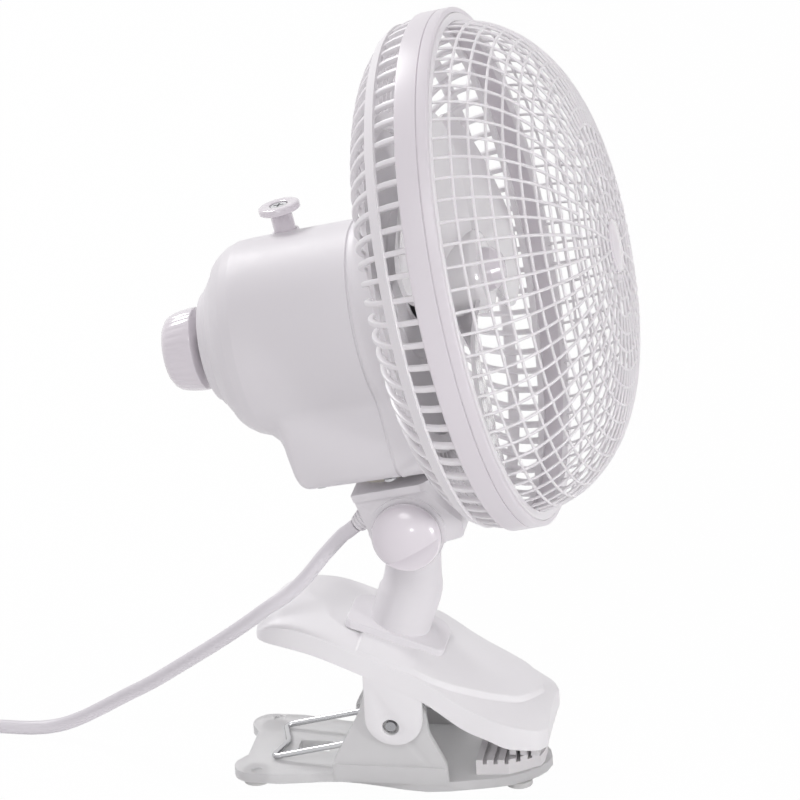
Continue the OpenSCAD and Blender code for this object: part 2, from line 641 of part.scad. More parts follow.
module guard_badge() color("whitesmoke") at_head() translate([dome(dome_end)[0], 0, 0])
    turned([[-rib_t, 0], [-rib_t, badge_r - 0.2], [0, badge_r - 0.2], [1.2, badge_r - 3], [1.6, 0]]);

// Motor: a framed core with its coil below the rotor
core_half = 24;
core_top = 13;
// The core's foot, measured up from the tilt axis
core_foot = 47;
core_low = core_foot - ring_above;
module stator_core() color("dimgray") at_head() difference() {
    translate([stator_n[0], 0, 0]) rotate([90, 0, 90]) linear_extrude(stator_n[1] - stator_n[0]) difference() {
        translate([-core_half, core_low]) square([2 * core_half, core_top - core_low]);
        translate([-core_half + 8, core_low + 10]) square([2 * core_half - 16, -core_top - core_low - 10]);
    }
    rod(stator_n[0] - 1, stator_n[1] + 1, rotor_r + rotor_gap);
    for (s = [-1, 1]) translate([0, s * screw_y, screw_u]) rod(stator_n[0] - 1, stator_n[1] + 1, motor_screw_r);
}
coil_half = 13;
module field_coil() color("linen") at_head() difference() {
    translate([stator_n[0] - 6, -coil_half, core_low - 5])
        cube([stator_n[1] - stator_n[0] + 12, 2 * coil_half, 20]);
    translate([stator_n[0], -coil_half - 1, core_low]) cube([stator_n[1] - stator_n[0], 2 * coil_half + 2, 10]);
}
screw_y = 19.5;
screw_u = 9;
motor_screw_r = 1.6;
// A bearing bracket across the core, with a seat for its bush
module bearing_bracket(n, half) difference() {
    translate([n, -half, -8]) cube([bracket_t, 2 * half, 16 + 4]);
    rod(n - 1, n + bracket_t + 1, bush_r);
    for (s = [-1, 1]) translate([0, s * screw_y, screw_u]) rod(n - 1, n + bracket_t + 1, motor_screw_r);
}
module motor_front_bracket() color("silver") at_head() {
    bearing_bracket(front_bracket_n, 24);
    for (s = [-1, 1]) translate([front_bracket_n, s * 27.5 - 4.4, -20]) cube([bracket_t, 8.8, 20]);
    for (s = [-1, 1]) translate([stator_n[1], s * screw_y, screw_u]) difference() {
        rod(0, front_bracket_n - stator_n[1], 3.2);
        rod(-1, 5, motor_screw_r);
    }
}
module motor_rear_bracket() color("silver") at_head() {
    bearing_bracket(rear_bracket_n, 24);
    for (s = [-1, 1]) translate([rear_bracket_n + bracket_t, s * screw_y, screw_u]) difference() {
        rod(0, stator_n[0] - rear_bracket_n - bracket_t, 3.2);
        rod(-1, 5, motor_screw_r);
    }
}
module bearing_bushes() color("goldenrod") at_head() for (n = [front_bracket_n, rear_bracket_n]) difference() {
    rod(n, n + bracket_t + 2, bush_r);
    rod(n - 1, n + 5, shaft_r + fit);
}
module motor_screws() color("silver") at_head() for (s = [-1, 1]) translate([0, s * screw_y, screw_u]) {
    rod(rear_bracket_n, front_bracket_n + bracket_t, motor_screw_r);
    rod(front_bracket_n + bracket_t, front_bracket_n + bracket_t + 1.6, 2.8);
}
module motor_shaft() color("silver") at_head() rod(worm_n[1], hub_n[1] - 2, shaft_r);
module rotor_core() color("darkgray") at_head() difference() {
    rod(stator_n[0] + 0.5, stator_n[1] - 0.5, rotor_r);
    rod(stator_n[0] - 1, stator_n[1] + 1, shaft_r);
}
worm_root = 2.3;
worm_tip = 3.2;
worm_turns = 3;
worm_lead = PI * worm_m;
// A round core with a thin thread about the wheel's place
module worm() color("silver") at_head() {
    rod(worm_n[0], worm_n[1], worm_root);
    translate([knob_n - worm_turns * worm_lead / 2, 0, 0]) rotate([0, 90, 0]) rotate(thread_phase)
        linear_extrude(worm_turns * worm_lead, twist = -360 * worm_turns, slices = 12 * worm_turns)
        translate([thread_off, 0]) circle(worm_tip - thread_off, $fn = 12);
}
thread_off = 0.45;
thread_phase = 90;

// Toothed wheel outline: straight-sided teeth between the root and tip circles
module toothed(teeth, tip, root, share_tip, share_root) {
    step = 360 / teeth;
    flank = [[-share_root, root], [-share_tip, tip], [share_tip, tip], [share_root, root]];
    polygon([for (i = [0:teeth - 1], k = flank)
        k[1] * [cos(step * (i + k[0])), sin(step * (i + k[0]))]]);
}
module worm_wheel() color("ivory") at_head() translate([knob_n, knob_y, -wheel_t / 2]) difference() {
    linear_extrude(wheel_t) toothed(wheel_teeth, wheel_r + 0.15, wheel_r - 0.75, 0.1, 0.22);
    translate([0, 0, -1]) cylinder(r = clutch_r + fit, h = wheel_t + 2);
}
arm_z = [4, 7];
module gear_bracket() color("silver") at_head() difference() {
    union() {
        for (z = [arm_z[0], -arm_z[1]])
            translate([rear_bracket_n - 18, 2, z]) cube([18, 22, arm_z[1] - arm_z[0]]);
        translate([rear_bracket_n - 1.5, 18, -arm_z[1]]) cube([1.5, 6, 2 * arm_z[1]]);
    }
    translate([knob_n, knob_y, -20]) cylinder(r = clutch_r + fit, h = 40);
}
low_u = function (level) level - ring_above;
module clutch_shaft() color("silver") at_head() translate([knob_n, knob_y, 0])
    translate([0, 0, low_u(gear_base - 0.4)]) cylinder(r = clutch_r, h = 28 - low_u(gear_base - 0.4));
module clutch_pinion() color("ivory") at_head() translate([knob_n, knob_y, low_u(gear_base)]) difference() {
    rotate(pinion_turn) linear_extrude(gear_t)
        toothed(pinion_teeth, gear_m * (pinion_teeth / 2 + 0.8), gear_m * (pinion_teeth / 2 - 1.1), 0.1, 0.26);
    translate([0, 0, -1]) cylinder(r = clutch_r + fit, h = gear_t + 2);
}
mesh_angle = atan2(crank_y - knob_y, crank_n - knob_n);
pinion_turn = mesh_angle;
crank_turn = mesh_angle + 180 + 180 / crank_teeth;
pin_angle = atan2(crank_y, crank_n - swing_n);
module crank_gear() color("ivory") at_head() translate([crank_n, crank_y, low_u(gear_base)]) difference() {
    union() {
        rotate(crank_turn) linear_extrude(gear_t)
            toothed(crank_teeth, gear_m * (crank_teeth / 2 + 0.8), gear_m * (crank_teeth / 2 - 1.1), 0.1, 0.24);
        rotate(pin_angle) translate([crank_pin_at, 0, post_top - 0.4 - gear_base])
            cylinder(r = crank_pin_r, h = gear_base - post_top + 1);
    }
    translate([0, 0, -1]) cylinder(r = clutch_r + fit, h = gear_t + 2);
}
module crank_axle() color("silver") at_head() translate([crank_n, crank_y, 0]) {
    translate([0, 0, low_u(gear_base - 0.2 - 1.7)]) cylinder(r = 2.8, h = 1.7);
    translate([0, 0, low_u(gear_base - 0.2)])
        cylinder(r = clutch_r, h = plate_base + gear_plate_t - gear_base + 0.2);
}
module gear_plate() color("silver") at_head() difference() {
    translate([-84.5, -belly_half + wall, low_u(plate_base)]) cube([19, 2 * (belly_half - wall), gear_plate_t]);
    translate([knob_n, knob_y, -80]) cylinder(r = clutch_r + fit, h = 60);
    translate([crank_n, crank_y, -80]) cylinder(r = clutch_r, h = 60);
}
module oscillation_knob() color("whitesmoke") at_head() translate([knob_n, knob_y, 0]) difference() {
    union() {
        translate([0, 0, 22]) cylinder(r = 3.75, h = knob_top - 24);
        translate([0, 0, knob_top - 3]) cylinder(r = knob_cap_r, h = 2.4);
        translate([0, 0, knob_top - 0.6]) cylinder(r1 = knob_cap_r, r2 = knob_cap_r - 0.8, h = 0.6);
    }
    translate([0, 0, 21]) cylinder(r = clutch_r, h = 7);
    translate([0, 0, knob_top - 2]) cylinder(r = 3.4, h = 3);
}
module knob_screw() color("silver") at_head() translate([knob_n, knob_y, knob_top - 2]) difference() {
    cylinder(r = 3, h = 1.6);
    for (a = [0, 90]) rotate(a) translate([-2, -0.4, 0.8]) cube([4, 0.8, 1]);
}
module switch_body() color("dimgray") on_axis() {
    rod(switch_n[0], switch_n[1], 11);
    difference() {
        rod(back_n - 1.2, switch_n[0], 5);
        rod(back_n - 2, switch_n[0] + 1, switch_shaft_r + fit);
    }
}
module switch_shaft() color("silver") on_axis() rod(speed_knob_n[1] - 6, switch_n[0] - 0.2, switch_shaft_r);
module speed_knob() color("whitesmoke") on_axis() difference() {
    turned([[speed_knob_n[0], 0], [speed_knob_n[0], 9], [speed_knob_n[0] + 1.5, 12], [-125.2, 13.9],
        [speed_knob_n[1], speed_knob_r], [speed_knob_n[1], 0]]);
    rod(speed_knob_n[1] - 6, speed_knob_n[1] + 1, switch_shaft_r);
}

// Fan: a hub with wide swept blades
blade_count = 3;
blade_t = 1.6;
blade_steps = 6;
blade_wide = 92;
blade_sweep = 14;
// A point on a blade: t from hub to tip, w across the blade
function blade_point(t, w, front) =
    let (r = mix(hub_r - 1, blade_r, t), wide = blade_wide * (0.62 + 0.38 * sin(180 * min(t + 0.1, 1))))
    let (sweep = blade_sweep * t + (w - 0.5) * wide)
    let (n = mix(hub_n[0] + 4.5, hub_n[1] - 3.5, 1 - w) + front * blade_t)
    [n, r * cos(sweep), r * sin(sweep)];
module fan_blade() color("whitesmoke") at_head() difference() {
    union() {
        turned([[hub_n[0], 0], [hub_n[0], hub_r - 1], [hub_n[0] + 1, hub_r], [hub_n[1] - 2, hub_r],
            [hub_n[1], hub_r - 2], [hub_n[1], 0]]);
        for (k = [0:blade_count - 1]) rotate([360 * k / blade_count, 0, 0]) loft([
            for (i = [0:blade_steps])
                concat([for (j = [0:blade_steps]) blade_point(i / blade_steps, j / blade_steps, 0)],
                    [for (j = [blade_steps:-1:0]) blade_point(i / blade_steps, j / blade_steps, 1)])]);
    }
    rod(hub_n[0] - 1, hub_n[1] - 2, shaft_r);
}
module blade_cap() color("whitesmoke") at_head()
    turned([[hub_n[1], 0], [hub_n[1], 8], [hub_n[1] + 3, 7.5], [hub_n[1] + 6, 5], [hub_n[1] + 7, 0]]);

// Cord: the free stretch, then a flat coil of two layers
module power_cord() color("whitesmoke") tube(smooth(cord_route, 2), cord_d / 2, 10);

coil_rings_a_turn = 24;
coil_half_rings = coil_turns * coil_rings_a_turn;
coil_climb = coil_rings_a_turn / 2;
// Place i along the coil: in on the table, up in the half turn where it turns back, and out on top
function coil_in(i) = coil_r - coil_pitch * i / coil_rings_a_turn;
function coil_point(i) =
    let (k = min(i, coil_half_rings, 2 * coil_half_rings + coil_climb - i))
    let (a = 90 + 360 * i / coil_rings_a_turn, lift = min(max((i - coil_half_rings) / coil_climb, 0), 1))
    let (r = coil_in(k) - coil_tuck * sin(180 * lift))
    [coil_at[0] + r * cos(a), coil_at[1] + r * sin(a), coil_z + coil_pitch * lift * lift * (3 - 2 * lift)];
coil_end = 2 * coil_half_rings + coil_climb;
coil_lead = 6;
coil_path = concat([coil_point(0) + [coil_lead, 0, 0]], [for (i = [0:coil_end]) coil_point(i)],
    [coil_point(coil_end) + [coil_lead, 0, 0]]);
module cord_coil() color("whitesmoke") {
    echo(coil_gap = least_gap(coil_path, cord_d, 10));
    tube(coil_path, cord_d / 2, 6);
}
coil_last = coil_path[len(coil_path) - 1];
tie_w = 8;
tie_inner = coil_in(coil_half_rings) - cord_d / 2 - 0.3;
tie_outer = coil_r + cord_d / 2 + 0.3;
tie_top = coil_z + coil_pitch + cord_d / 2 + 0.3;
// A strap round all the turns
module cord_tie() color("gray") translate([coil_at[0], coil_at[1], 0]) rotate(200)
    side(-tie_w / 2, tie_w / 2) difference() {
        translate([tie_inner - tie_t, 0]) square([tie_outer - tie_inner + 2 * tie_t, tie_top + tie_t]);
        translate([tie_inner, tie_t]) square([tie_outer - tie_inner, tie_top - tie_t]);
    }

// Two-pin plug at the coil's end
plug_len = 36;
plug_half = 13;
plug_gap = 9.5;
plug_neck = 8;
module at_plug() translate(coil_last) rotate([0, 90, 0]) children();
module plug_body() color("whitesmoke") at_plug() {
    cylinder(r1 = cord_d / 2 + 1, r2 = cord_d / 2 + 2.5, h = plug_neck);
    translate([0, 0, plug_neck]) linear_extrude(plug_len - plug_neck) intersection() {
        square([2 * coil_last[2] - 0.4, 2 * plug_half], center = true);
        circle(plug_half + 1.5);
    }
}
module plug_pins() color("silver") at_plug() for (s = [-1, 1])
    translate([0, s * plug_gap, plug_len]) cylinder(r = plug_pin_r, h = plug_pin_len);

upper_jaw();
upper_grip_pad();
neck();
neck_screw();
lower_jaw();
lower_grip_pad();
rubber_feet();
pivot_pin();
torsion_spring();
swivel_bracket();
tilt_nut();
cord_gland();
pivot_post();
thrust_washer();
swing_lever();
lever_screw();
tilt_knob();
tilt_bolt();
rear_housing();
front_housing();
housing_screws();
rear_guard();
guard_ring();
front_guard();
guard_badge();
stator_core();
field_coil();
motor_front_bracket();
motor_rear_bracket();
bearing_bushes();
motor_screws();
gear_bracket();
gear_plate();
crank_axle();
switch_body();
motor_shaft();
rotor_core();
worm();
fan_blade();
blade_cap();
worm_wheel();
oscillation_knob();
knob_screw();
clutch_shaft();
clutch_pinion();
crank_gear();
speed_knob();
switch_shaft();
power_cord();
cord_coil();
cord_tie();
plug_body();
plug_pins();
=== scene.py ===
"""Oscillating clip fan: white moulded plastic, a wire guard and a sprung clip, dressed over its frame."""
from math import acos, asin, atan2, copysign, cos, degrees, hypot, pi, radians, sin, sqrt

import bmesh
import bpy
from mathutils import Matrix, Vector


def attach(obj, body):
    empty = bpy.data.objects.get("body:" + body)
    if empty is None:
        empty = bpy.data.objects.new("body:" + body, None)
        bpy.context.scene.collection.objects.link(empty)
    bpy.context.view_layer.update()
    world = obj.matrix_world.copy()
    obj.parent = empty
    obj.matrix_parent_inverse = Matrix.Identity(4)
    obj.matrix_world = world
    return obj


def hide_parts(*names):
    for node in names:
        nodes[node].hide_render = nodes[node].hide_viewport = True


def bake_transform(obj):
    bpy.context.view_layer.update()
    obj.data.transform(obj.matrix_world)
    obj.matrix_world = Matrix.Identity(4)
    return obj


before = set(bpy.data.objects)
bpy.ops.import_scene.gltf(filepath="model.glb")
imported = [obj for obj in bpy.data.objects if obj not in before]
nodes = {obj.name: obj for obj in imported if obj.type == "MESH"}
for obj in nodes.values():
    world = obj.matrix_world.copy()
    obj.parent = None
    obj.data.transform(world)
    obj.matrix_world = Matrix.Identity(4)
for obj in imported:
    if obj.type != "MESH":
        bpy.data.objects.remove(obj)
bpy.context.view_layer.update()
scene = bpy.context.scene
MM = 0.001

# Camera: fitted to the photograph's view, in millimetres and degrees
CAMERA_FOCUS = (-0.85, 0.0, 148.0)
CAMERA_DISTANCE = 1298.8
CAMERA_ELEVATION = 22.2
CAMERA_AZIMUTH = 10.7
CAMERA_ROLL = -2.5
CAMERA_LENS = 162.0
SENSOR = 36.0

# Fan frame: X along the fan's axis from the guard ring's front edge, Z up across it
PITCH = radians(12.0)
TILT_AXIS = Vector((3.5, 0.0, 104.0))
RING_AHEAD = 54.0
RING_ABOVE = 87.0
AXIS_DROP = 10.3
table_frame = Matrix.Scale(MM, 4)
tilt_frame = Matrix.Translation(TILT_AXIS * MM) @ Matrix.Rotation(-PITCH, 4, "Y") @ table_frame
fan_frame = tilt_frame @ Matrix.Translation((RING_AHEAD, 0, RING_ABOVE))
housing_frame = fan_frame @ Matrix.Translation((0, 0, -AXIS_DROP))

# Turns that lay a frame's X axis upwards, to the near side or to the far side
to_up = Matrix.Rotation(-pi / 2, 4, "Y")
to_near = Matrix.Rotation(-pi / 2, 4, "Z")
to_far = Matrix.Rotation(pi / 2, 4, "Z")


def moved(space, place):
    return space @ Matrix.Translation(place)


# Curves and outlines
CORNER_SHARE = 0.45


def unit(v):
    return Vector(v).normalized()


def mix(a, b, t):
    return a + (b - a) * t


def clamp(t):
    return min(max(t, 0), 1)


def step_up(t):
    """A soft step from 0 to 1."""
    t = clamp(t)
    return t * t * (3 - 2 * t)


def whole_turn(steps):
    """The angles of a whole turn in even steps."""
    return [2 * pi * k / steps for k in range(steps)]


def along(pairs, x):
    """Value at x of a curve through (place, value) pairs, with a smooth slope at each pair."""
    if x <= pairs[0][0]:
        return pairs[0][1]
    for i in range(len(pairs) - 1):
        x0, y0 = pairs[i]
        x1, y1 = pairs[i + 1]
        if x <= x1:
            before = pairs[max(i - 1, 0)]
            after = pairs[min(i + 2, len(pairs) - 1)]
            t = (x - x0) / (x1 - x0)
            m0 = (y1 - before[1]) / (x1 - before[0]) * (x1 - x0)
            m1 = (after[1] - y0) / (after[0] - x0) * (x1 - x0)
            a = (2 * t**3 - 3 * t**2 + 1) * y0 + (t**3 - 2 * t**2 + t) * m0
            return a + (3 * t**2 - 2 * t**3) * y1 + (t**3 - t**2) * m1
    return pairs[-1][1]


def arc(x, y, r, start, end, steps=8):
    """Points on an arc, with angles in degrees."""
    turns = [radians(mix(start, end, i / steps)) for i in range(steps + 1)]
    return [(x + r * cos(a), y + r * sin(a)) for a in turns]


def smooth_line(points, steps):
    """A smooth curve through given points, with some steps from each to the next."""
    pts = [Vector(p) for p in points]
    line = []
    for i in range(len(pts) - 1):
        a, b, c, d = pts[max(i - 1, 0)], pts[i], pts[i + 1], pts[min(i + 2, len(pts) - 1)]
        bend = 2 * a - 5 * b + 4 * c - d
        for k in range(steps):
            t = k / steps
            line.append(b + 0.5 * t * ((c - a) + t * (bend + t * (3 * (b - c) + d - a))))
    return line + [pts[-1]]


def rounded(points, radius, steps=4):
    """An open outline with its inner corners rounded by a radius, less where a side is short."""
    out = [points[0]]
    for i in range(1, len(points) - 1):
        a, b, c = Vector(points[i - 1]), Vector(points[i]), Vector(points[i + 1])
        r = min(radius, CORNER_SHARE * (a - b).length, CORNER_SHARE * (c - b).length)
        p, q = b + unit(a - b) * r, b + unit(c - b) * r
        for k in range(steps + 1):
            t = k / steps
            out.append(tuple((1 - t) ** 2 * p + 2 * t * (1 - t) * b + t * t * q))
    return out + [points[-1]]


# Mesh making: every finished piece sits at the origin with its place in its mesh
SHARP = 35.0
SAME_POINT = 1e-7


def link(name, data):
    obj = bpy.data.objects.new(name, data)
    scene.collection.objects.link(obj)
    return obj


def shade(mesh, sharp=SHARP):
    """Smooth shading that keeps edges sharper than an angle, in degrees."""
    mesh.shade_smooth()
    mesh.set_sharp_from_angle(angle=radians(sharp))


def finish_mesh(name, mesh, material, sharp):
    """A piece from a raw mesh; without a sharp angle it stays flat shaded."""
    bm = bmesh.new()
    bm.from_mesh(mesh)
    bmesh.ops.remove_doubles(bm, verts=bm.verts, dist=SAME_POINT)
    bmesh.ops.recalc_face_normals(bm, faces=bm.faces)
    bm.to_mesh(mesh)
    bm.free()
    if sharp:
        shade(mesh, sharp)
    mesh.materials.clear()
    mesh.materials.append(material)
    return link(name, mesh)


def settle(obj, *modifiers):
    """Apply modifiers given as (kind, settings), and keep a plain mesh."""
    for kind, settings in modifiers:
        modifier = obj.modifiers.new(kind.title(), kind)
        for key, value in settings.items():
            setattr(modifier, key, value)
    depsgraph = bpy.context.evaluated_depsgraph_get()
    mesh = bpy.data.meshes.new_from_object(obj.evaluated_get(depsgraph))
    obj.modifiers.clear()
    obj.data = mesh
    return obj


def loft(name, loops, closed=False, open_loops=False):
    """A raw mesh over loops of points, capped unless the last loop joins the first."""
    size = len(loops[0])
    count = len(loops)
    faces = []
    for i in range(count if closed else count - 1):
        k = (i + 1) % count
        for j in range(size - 1 if open_loops else size):
            n = (j + 1) % size
            faces.append((i * size + j, i * size + n, k * size + n, k * size + j))
    if not closed:
        last = (count - 1) * size
        faces.append(tuple(range(size - 1, -1, -1)))
        faces.append(tuple(range(last, last + size)))
    mesh = bpy.data.meshes.new(name)
    mesh.from_pydata([tuple(p) for loop in loops for p in loop], [], faces)
    return mesh


def add_piece(name, loops, space, material, sharp=SHARP, closed=False, open_loops=False):
    """A piece whose skin lies over loops given in a space of its own."""
    mesh = loft(name, loops, closed, open_loops)
    mesh.transform(space)
    return finish_mesh(name, mesh, material, sharp)


def tube_loops(path, radius, sides, ref=(0, 0, 1)):
    """Loops of a round tube along a path that is never parallel to ref."""
    pts = [Vector(p) for p in path]
    loops = []
    for i, p in enumerate(pts):
        t = unit(pts[min(i + 1, len(pts) - 1)] - pts[max(i - 1, 0)])
        e = unit(Vector(ref).cross(t))
        f = t.cross(e)
        loops.append([p + radius * (cos(a) * e + sin(a) * f) for a in whole_turn(sides)])
    return loops


def turned(name, outline, space, material, segments, closed=False, sharp=SHARP, shape=None):
    """A solid turned about X from (place, radius) points; a closed outline makes a ring."""
    loops = []
    for a in whole_turn(segments):
        radii = [(x, shape(x, r, a) if shape else r) for x, r in outline]
        loops.append([(x, r * cos(a), r * sin(a)) for x, r in radii])
    return add_piece(name, loops, space, material, sharp, True, not closed)


def peg(name, low, high, r, space, material, segments=48):
    return turned(name, [(low, 0), (low, r), (high, r), (high, 0)], space, material, segments)


def block(name, low, high, space, material):
    """A box between two corners, for cutting."""
    x, y, z = zip(low, high)
    ring = [(0, 0), (1, 0), (1, 1), (0, 1)]
    loops = [[(x[i], y[j], z[k]) for i, j in ring] for k in (0, 1)]
    return add_piece(name, loops, space, material, None)


def slab(name, outline, low, high, space, material):
    """A side outline in X and Z, from one y to another."""
    loops = [[(x, y, z) for x, z in outline] for y in (low, high)]
    return add_piece(name, loops, space, material, None)


def cut(obj, cutters, operation="DIFFERENCE"):
    """Cut closed pieces out of a piece, or keep what it shares with them, and drop them."""
    for cutter in cutters:
        settle(obj, ("BOOLEAN", {"object": cutter, "operation": operation, "solver": "EXACT"}))
        bpy.data.objects.remove(cutter)
    return obj


def soften(obj, width, segments, angle, sharp=SHARP):
    """Round a piece's hard edges."""
    settings = {"limit_method": "ANGLE", "angle_limit": radians(angle), "width": width * MM,
                "segments": segments, "use_clamp_overlap": True}
    settle(obj, ("BEVEL", settings))
    shade(obj.data, sharp)
    return obj


def join(name, pieces):
    """Several pieces of one finish made one mesh."""
    bm = bmesh.new()
    for piece in pieces:
        bm.from_mesh(piece.data)
    mesh = bpy.data.meshes.new(name)
    bm.to_mesh(mesh)
    bm.free()
    mesh.materials.append(pieces[0].data.materials[0])
    for piece in pieces:
        bpy.data.objects.remove(piece)
    return link(name, mesh)


def mount(piece, body, node):
    """A white plastic piece put on a body in place of a node."""
    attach(piece, body)
    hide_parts(node)
    return piece


# Node groups: three effects that the finishes share, and copies of one shape in a ring
NOISE_LOW = 0.3
NOISE_HIGH = 0.7
POLISH_FINER = 6.0
WAVE_SCALE = 60.0
WAVE_SHARE = 0.6


def set_inputs(tree, node, inputs):
    """Set a node's inputs, given as values or as sockets to link from."""
    for key, value in inputs.items():
        if isinstance(value, bpy.types.NodeSocket):
            tree.links.new(value, node.inputs[key])
        else:
            node.inputs[key].default_value = value


def add_node(tree, kind, inputs, **settings):
    node = tree.nodes.new(kind)
    for key, value in settings.items():
        setattr(node, key, value)
    set_inputs(tree, node, inputs)
    return node


def node_group(name, kind, inputs, outputs):
    """A group with the sockets that lead in and out, each given as (label, kind)."""
    group = bpy.data.node_groups.new(name, kind)
    for side, sockets in (("INPUT", inputs), ("OUTPUT", outputs)):
        for label, socket in sockets:
            group.interface.new_socket(label, in_out=side, socket_type="NodeSocket" + socket)
    entry = group.nodes.new("NodeGroupInput")
    out = group.nodes.new("NodeGroupOutput")
    return group, entry.outputs, out.inputs


def add_noise(group, scale, detail, coords=None):
    if coords is None:
        coords = group.nodes.new("ShaderNodeTexCoord").outputs["Object"]
    noise = add_node(group, "ShaderNodeTexNoise", {"Detail": detail, "Scale": scale, "Vector": coords})
    return noise.outputs["Fac"]


def make_tone_drift():
    """Slow change of colour over a moulding, and of how polished it is."""
    group, entry, out = node_group(
        "tone_drift", "ShaderNodeTree",
        [("Color", "Color"), ("Shade", "Color"), ("Scale", "Float"), ("Smoothest", "Float"),
         ("Roughest", "Float")],
        [("Color", "Color"), ("Roughness", "Float")])
    colours = {"Factor": add_noise(group, entry["Scale"], 2.0), "A": entry["Color"], "B": entry["Shade"]}
    blend = add_node(group, "ShaderNodeMix", colours, data_type="RGBA")
    group.links.new(blend.outputs["Result"], out["Color"])
    finer = add_node(group, "ShaderNodeMath", {0: entry["Scale"], 1: POLISH_FINER}, operation="MULTIPLY")
    polish = add_node(group, "ShaderNodeMapRange", {
        "From Min": NOISE_LOW, "From Max": NOISE_HIGH, "Value": add_noise(group, finer.outputs[0], 4.0),
        "To Min": entry["Smoothest"], "To Max": entry["Roughest"]})
    group.links.new(polish.outputs["Result"], out["Roughness"])
    return group


def make_mould_grain():
    """Fine pitting of a mould's wall over the slow waviness of shrunk plastic."""
    group, entry, out = node_group(
        "mould_grain", "ShaderNodeTree", [("Grain Scale", "Float")], [("Height", "Float")])
    fine = add_noise(group, entry["Grain Scale"], 3.0)
    wave = add_noise(group, WAVE_SCALE, 1.0)
    total = add_node(group, "ShaderNodeMath", {0: wave, 1: WAVE_SHARE, 2: fine}, operation="MULTIPLY_ADD")
    group.links.new(total.outputs[0], out["Height"])
    return group


def make_draw_lines():
    """Long fine lines left by drawing, rolling or winding, along one axis of the piece."""
    group, entry, out = node_group(
        "draw_lines", "ShaderNodeTree",
        [("Stretch", "Vector"), ("Scale", "Float")], [("Height", "Float")])
    coords = group.nodes.new("ShaderNodeTexCoord").outputs["Object"]
    stretch = add_node(group, "ShaderNodeVectorMath", {0: coords, 1: entry["Stretch"]}, operation="MULTIPLY")
    group.links.new(add_noise(group, entry["Scale"], 4.0, stretch.outputs[0]), out["Height"])
    return group


def make_ring_tree():
    """Copies of a shape, turned evenly about its X axis."""
    tree, entry, out = node_group(
        "copies_in_a_ring", "GeometryNodeTree",
        [("Geometry", "Geometry"), ("Count", "Int"), ("Finish", "Material")], [("Geometry", "Geometry")])
    places = add_node(tree, "GeometryNodeMeshLine", {"Offset": (0, 0, 0), "Count": entry["Count"]})
    index = tree.nodes.new("GeometryNodeInputIndex").outputs[0]
    share = add_node(tree, "ShaderNodeMath", {0: index, 1: entry["Count"]}, operation="DIVIDE")
    angle = add_node(tree, "ShaderNodeMath", {0: share.outputs[0], 1: 2 * pi}, operation="MULTIPLY")
    axis = add_node(tree, "ShaderNodeCombineXYZ", {"X": angle.outputs[0]})
    turn = add_node(tree, "FunctionNodeEulerToRotation", {0: axis.outputs[0]})
    copies = add_node(tree, "GeometryNodeInstanceOnPoints", {
        "Points": places.outputs["Mesh"], "Instance": entry["Geometry"], "Rotation": turn.outputs[0]})
    solid = add_node(tree, "GeometryNodeRealizeInstances", {0: copies.outputs["Instances"]})
    finish = add_node(tree, "GeometryNodeSetMaterial", {
        "Geometry": solid.outputs[0], "Material": entry["Finish"]})
    tree.links.new(finish.outputs[0], out[0])
    return tree


tone_drift = make_tone_drift()
mould_grain = make_mould_grain()
draw_lines = make_draw_lines()
ring_tree = make_ring_tree()


def ring_of(name, loops, count, space, material, sharp=SHARP):
    """Copies of one shape about the X axis of a frame, as one plain mesh."""
    obj = link(name + "_one", loft(name + "_one", loops))
    modifier = obj.modifiers.new("copies", "NODES")
    modifier.node_group = ring_tree
    given = {"Count": count, "Finish": material}
    for item in ring_tree.interface.items_tree:
        if item.name in given:
            modifier[item.identifier] = given[item.name]
    mesh = settle(obj).data
    bpy.data.objects.remove(obj)
    mesh.name = name
    mesh.transform(space)
    return finish_mesh(name, mesh, material, sharp)


# Finishes
MOULDED_DRIFT = 25.0
METAL_DRIFT = 120.0
COAT_ROUGHNESS = 0.12


def new_material(name):
    material = bpy.data.materials.new(name)
    material.use_nodes = True
    tree = material.node_tree
    return material, tree.nodes["Principled BSDF"], tree


def new_finish(name, colour, dim, polish, drift_scale):
    """A material with drifting colour and polish; returns it with its shader and its tree."""
    material, shader, tree = new_material(name)
    given = {"Color": (*colour, 1), "Shade": (*dim, 1), "Scale": drift_scale,
             "Smoothest": polish[0], "Roughest": polish[1]}
    drift = add_node(tree, "ShaderNodeGroup", given, node_tree=tone_drift)
    out = drift.outputs
    set_inputs(tree, shader, {"Base Color": out["Color"], "Roughness": out["Roughness"]})
    return material, shader, tree


def bump(tree, shader, height, depth):
    """Relief from a height, with its depth in millimetres."""
    node = add_node(tree, "ShaderNodeBump", {"Distance": depth * MM, "Strength": 1.0, "Height": height})
    set_inputs(tree, shader, {"Normal": node.outputs["Normal"]})


def moulded(name, colour, dim, polish, depth, grain=2500.0, coat=0.0, clear=0.0):
    """Moulded plastic or rubber with a fine mould grain, and a share of light that goes through it."""
    material, shader, tree = new_finish(name, colour, dim, polish, MOULDED_DRIFT)
    pits = add_node(tree, "ShaderNodeGroup", {"Grain Scale": grain}, node_tree=mould_grain)
    bump(tree, shader, pits.outputs["Height"], depth)
    set_inputs(tree, shader, {
        "Coat Weight": coat, "Coat Roughness": COAT_ROUGHNESS, "Transmission Weight": clear})
    return material


def drawn_metal(name, colour, dim, polish, depth, stretch, scale=60.0):
    """Metal with the fine lines of its making."""
    material, shader, tree = new_finish(name, colour, dim, polish, METAL_DRIFT)
    set_inputs(tree, shader, {"Metallic": 1.0})
    lines = add_node(tree, "ShaderNodeGroup", {"Stretch": stretch, "Scale": scale}, node_tree=draw_lines)
    bump(tree, shader, lines.outputs["Height"], depth)
    return material


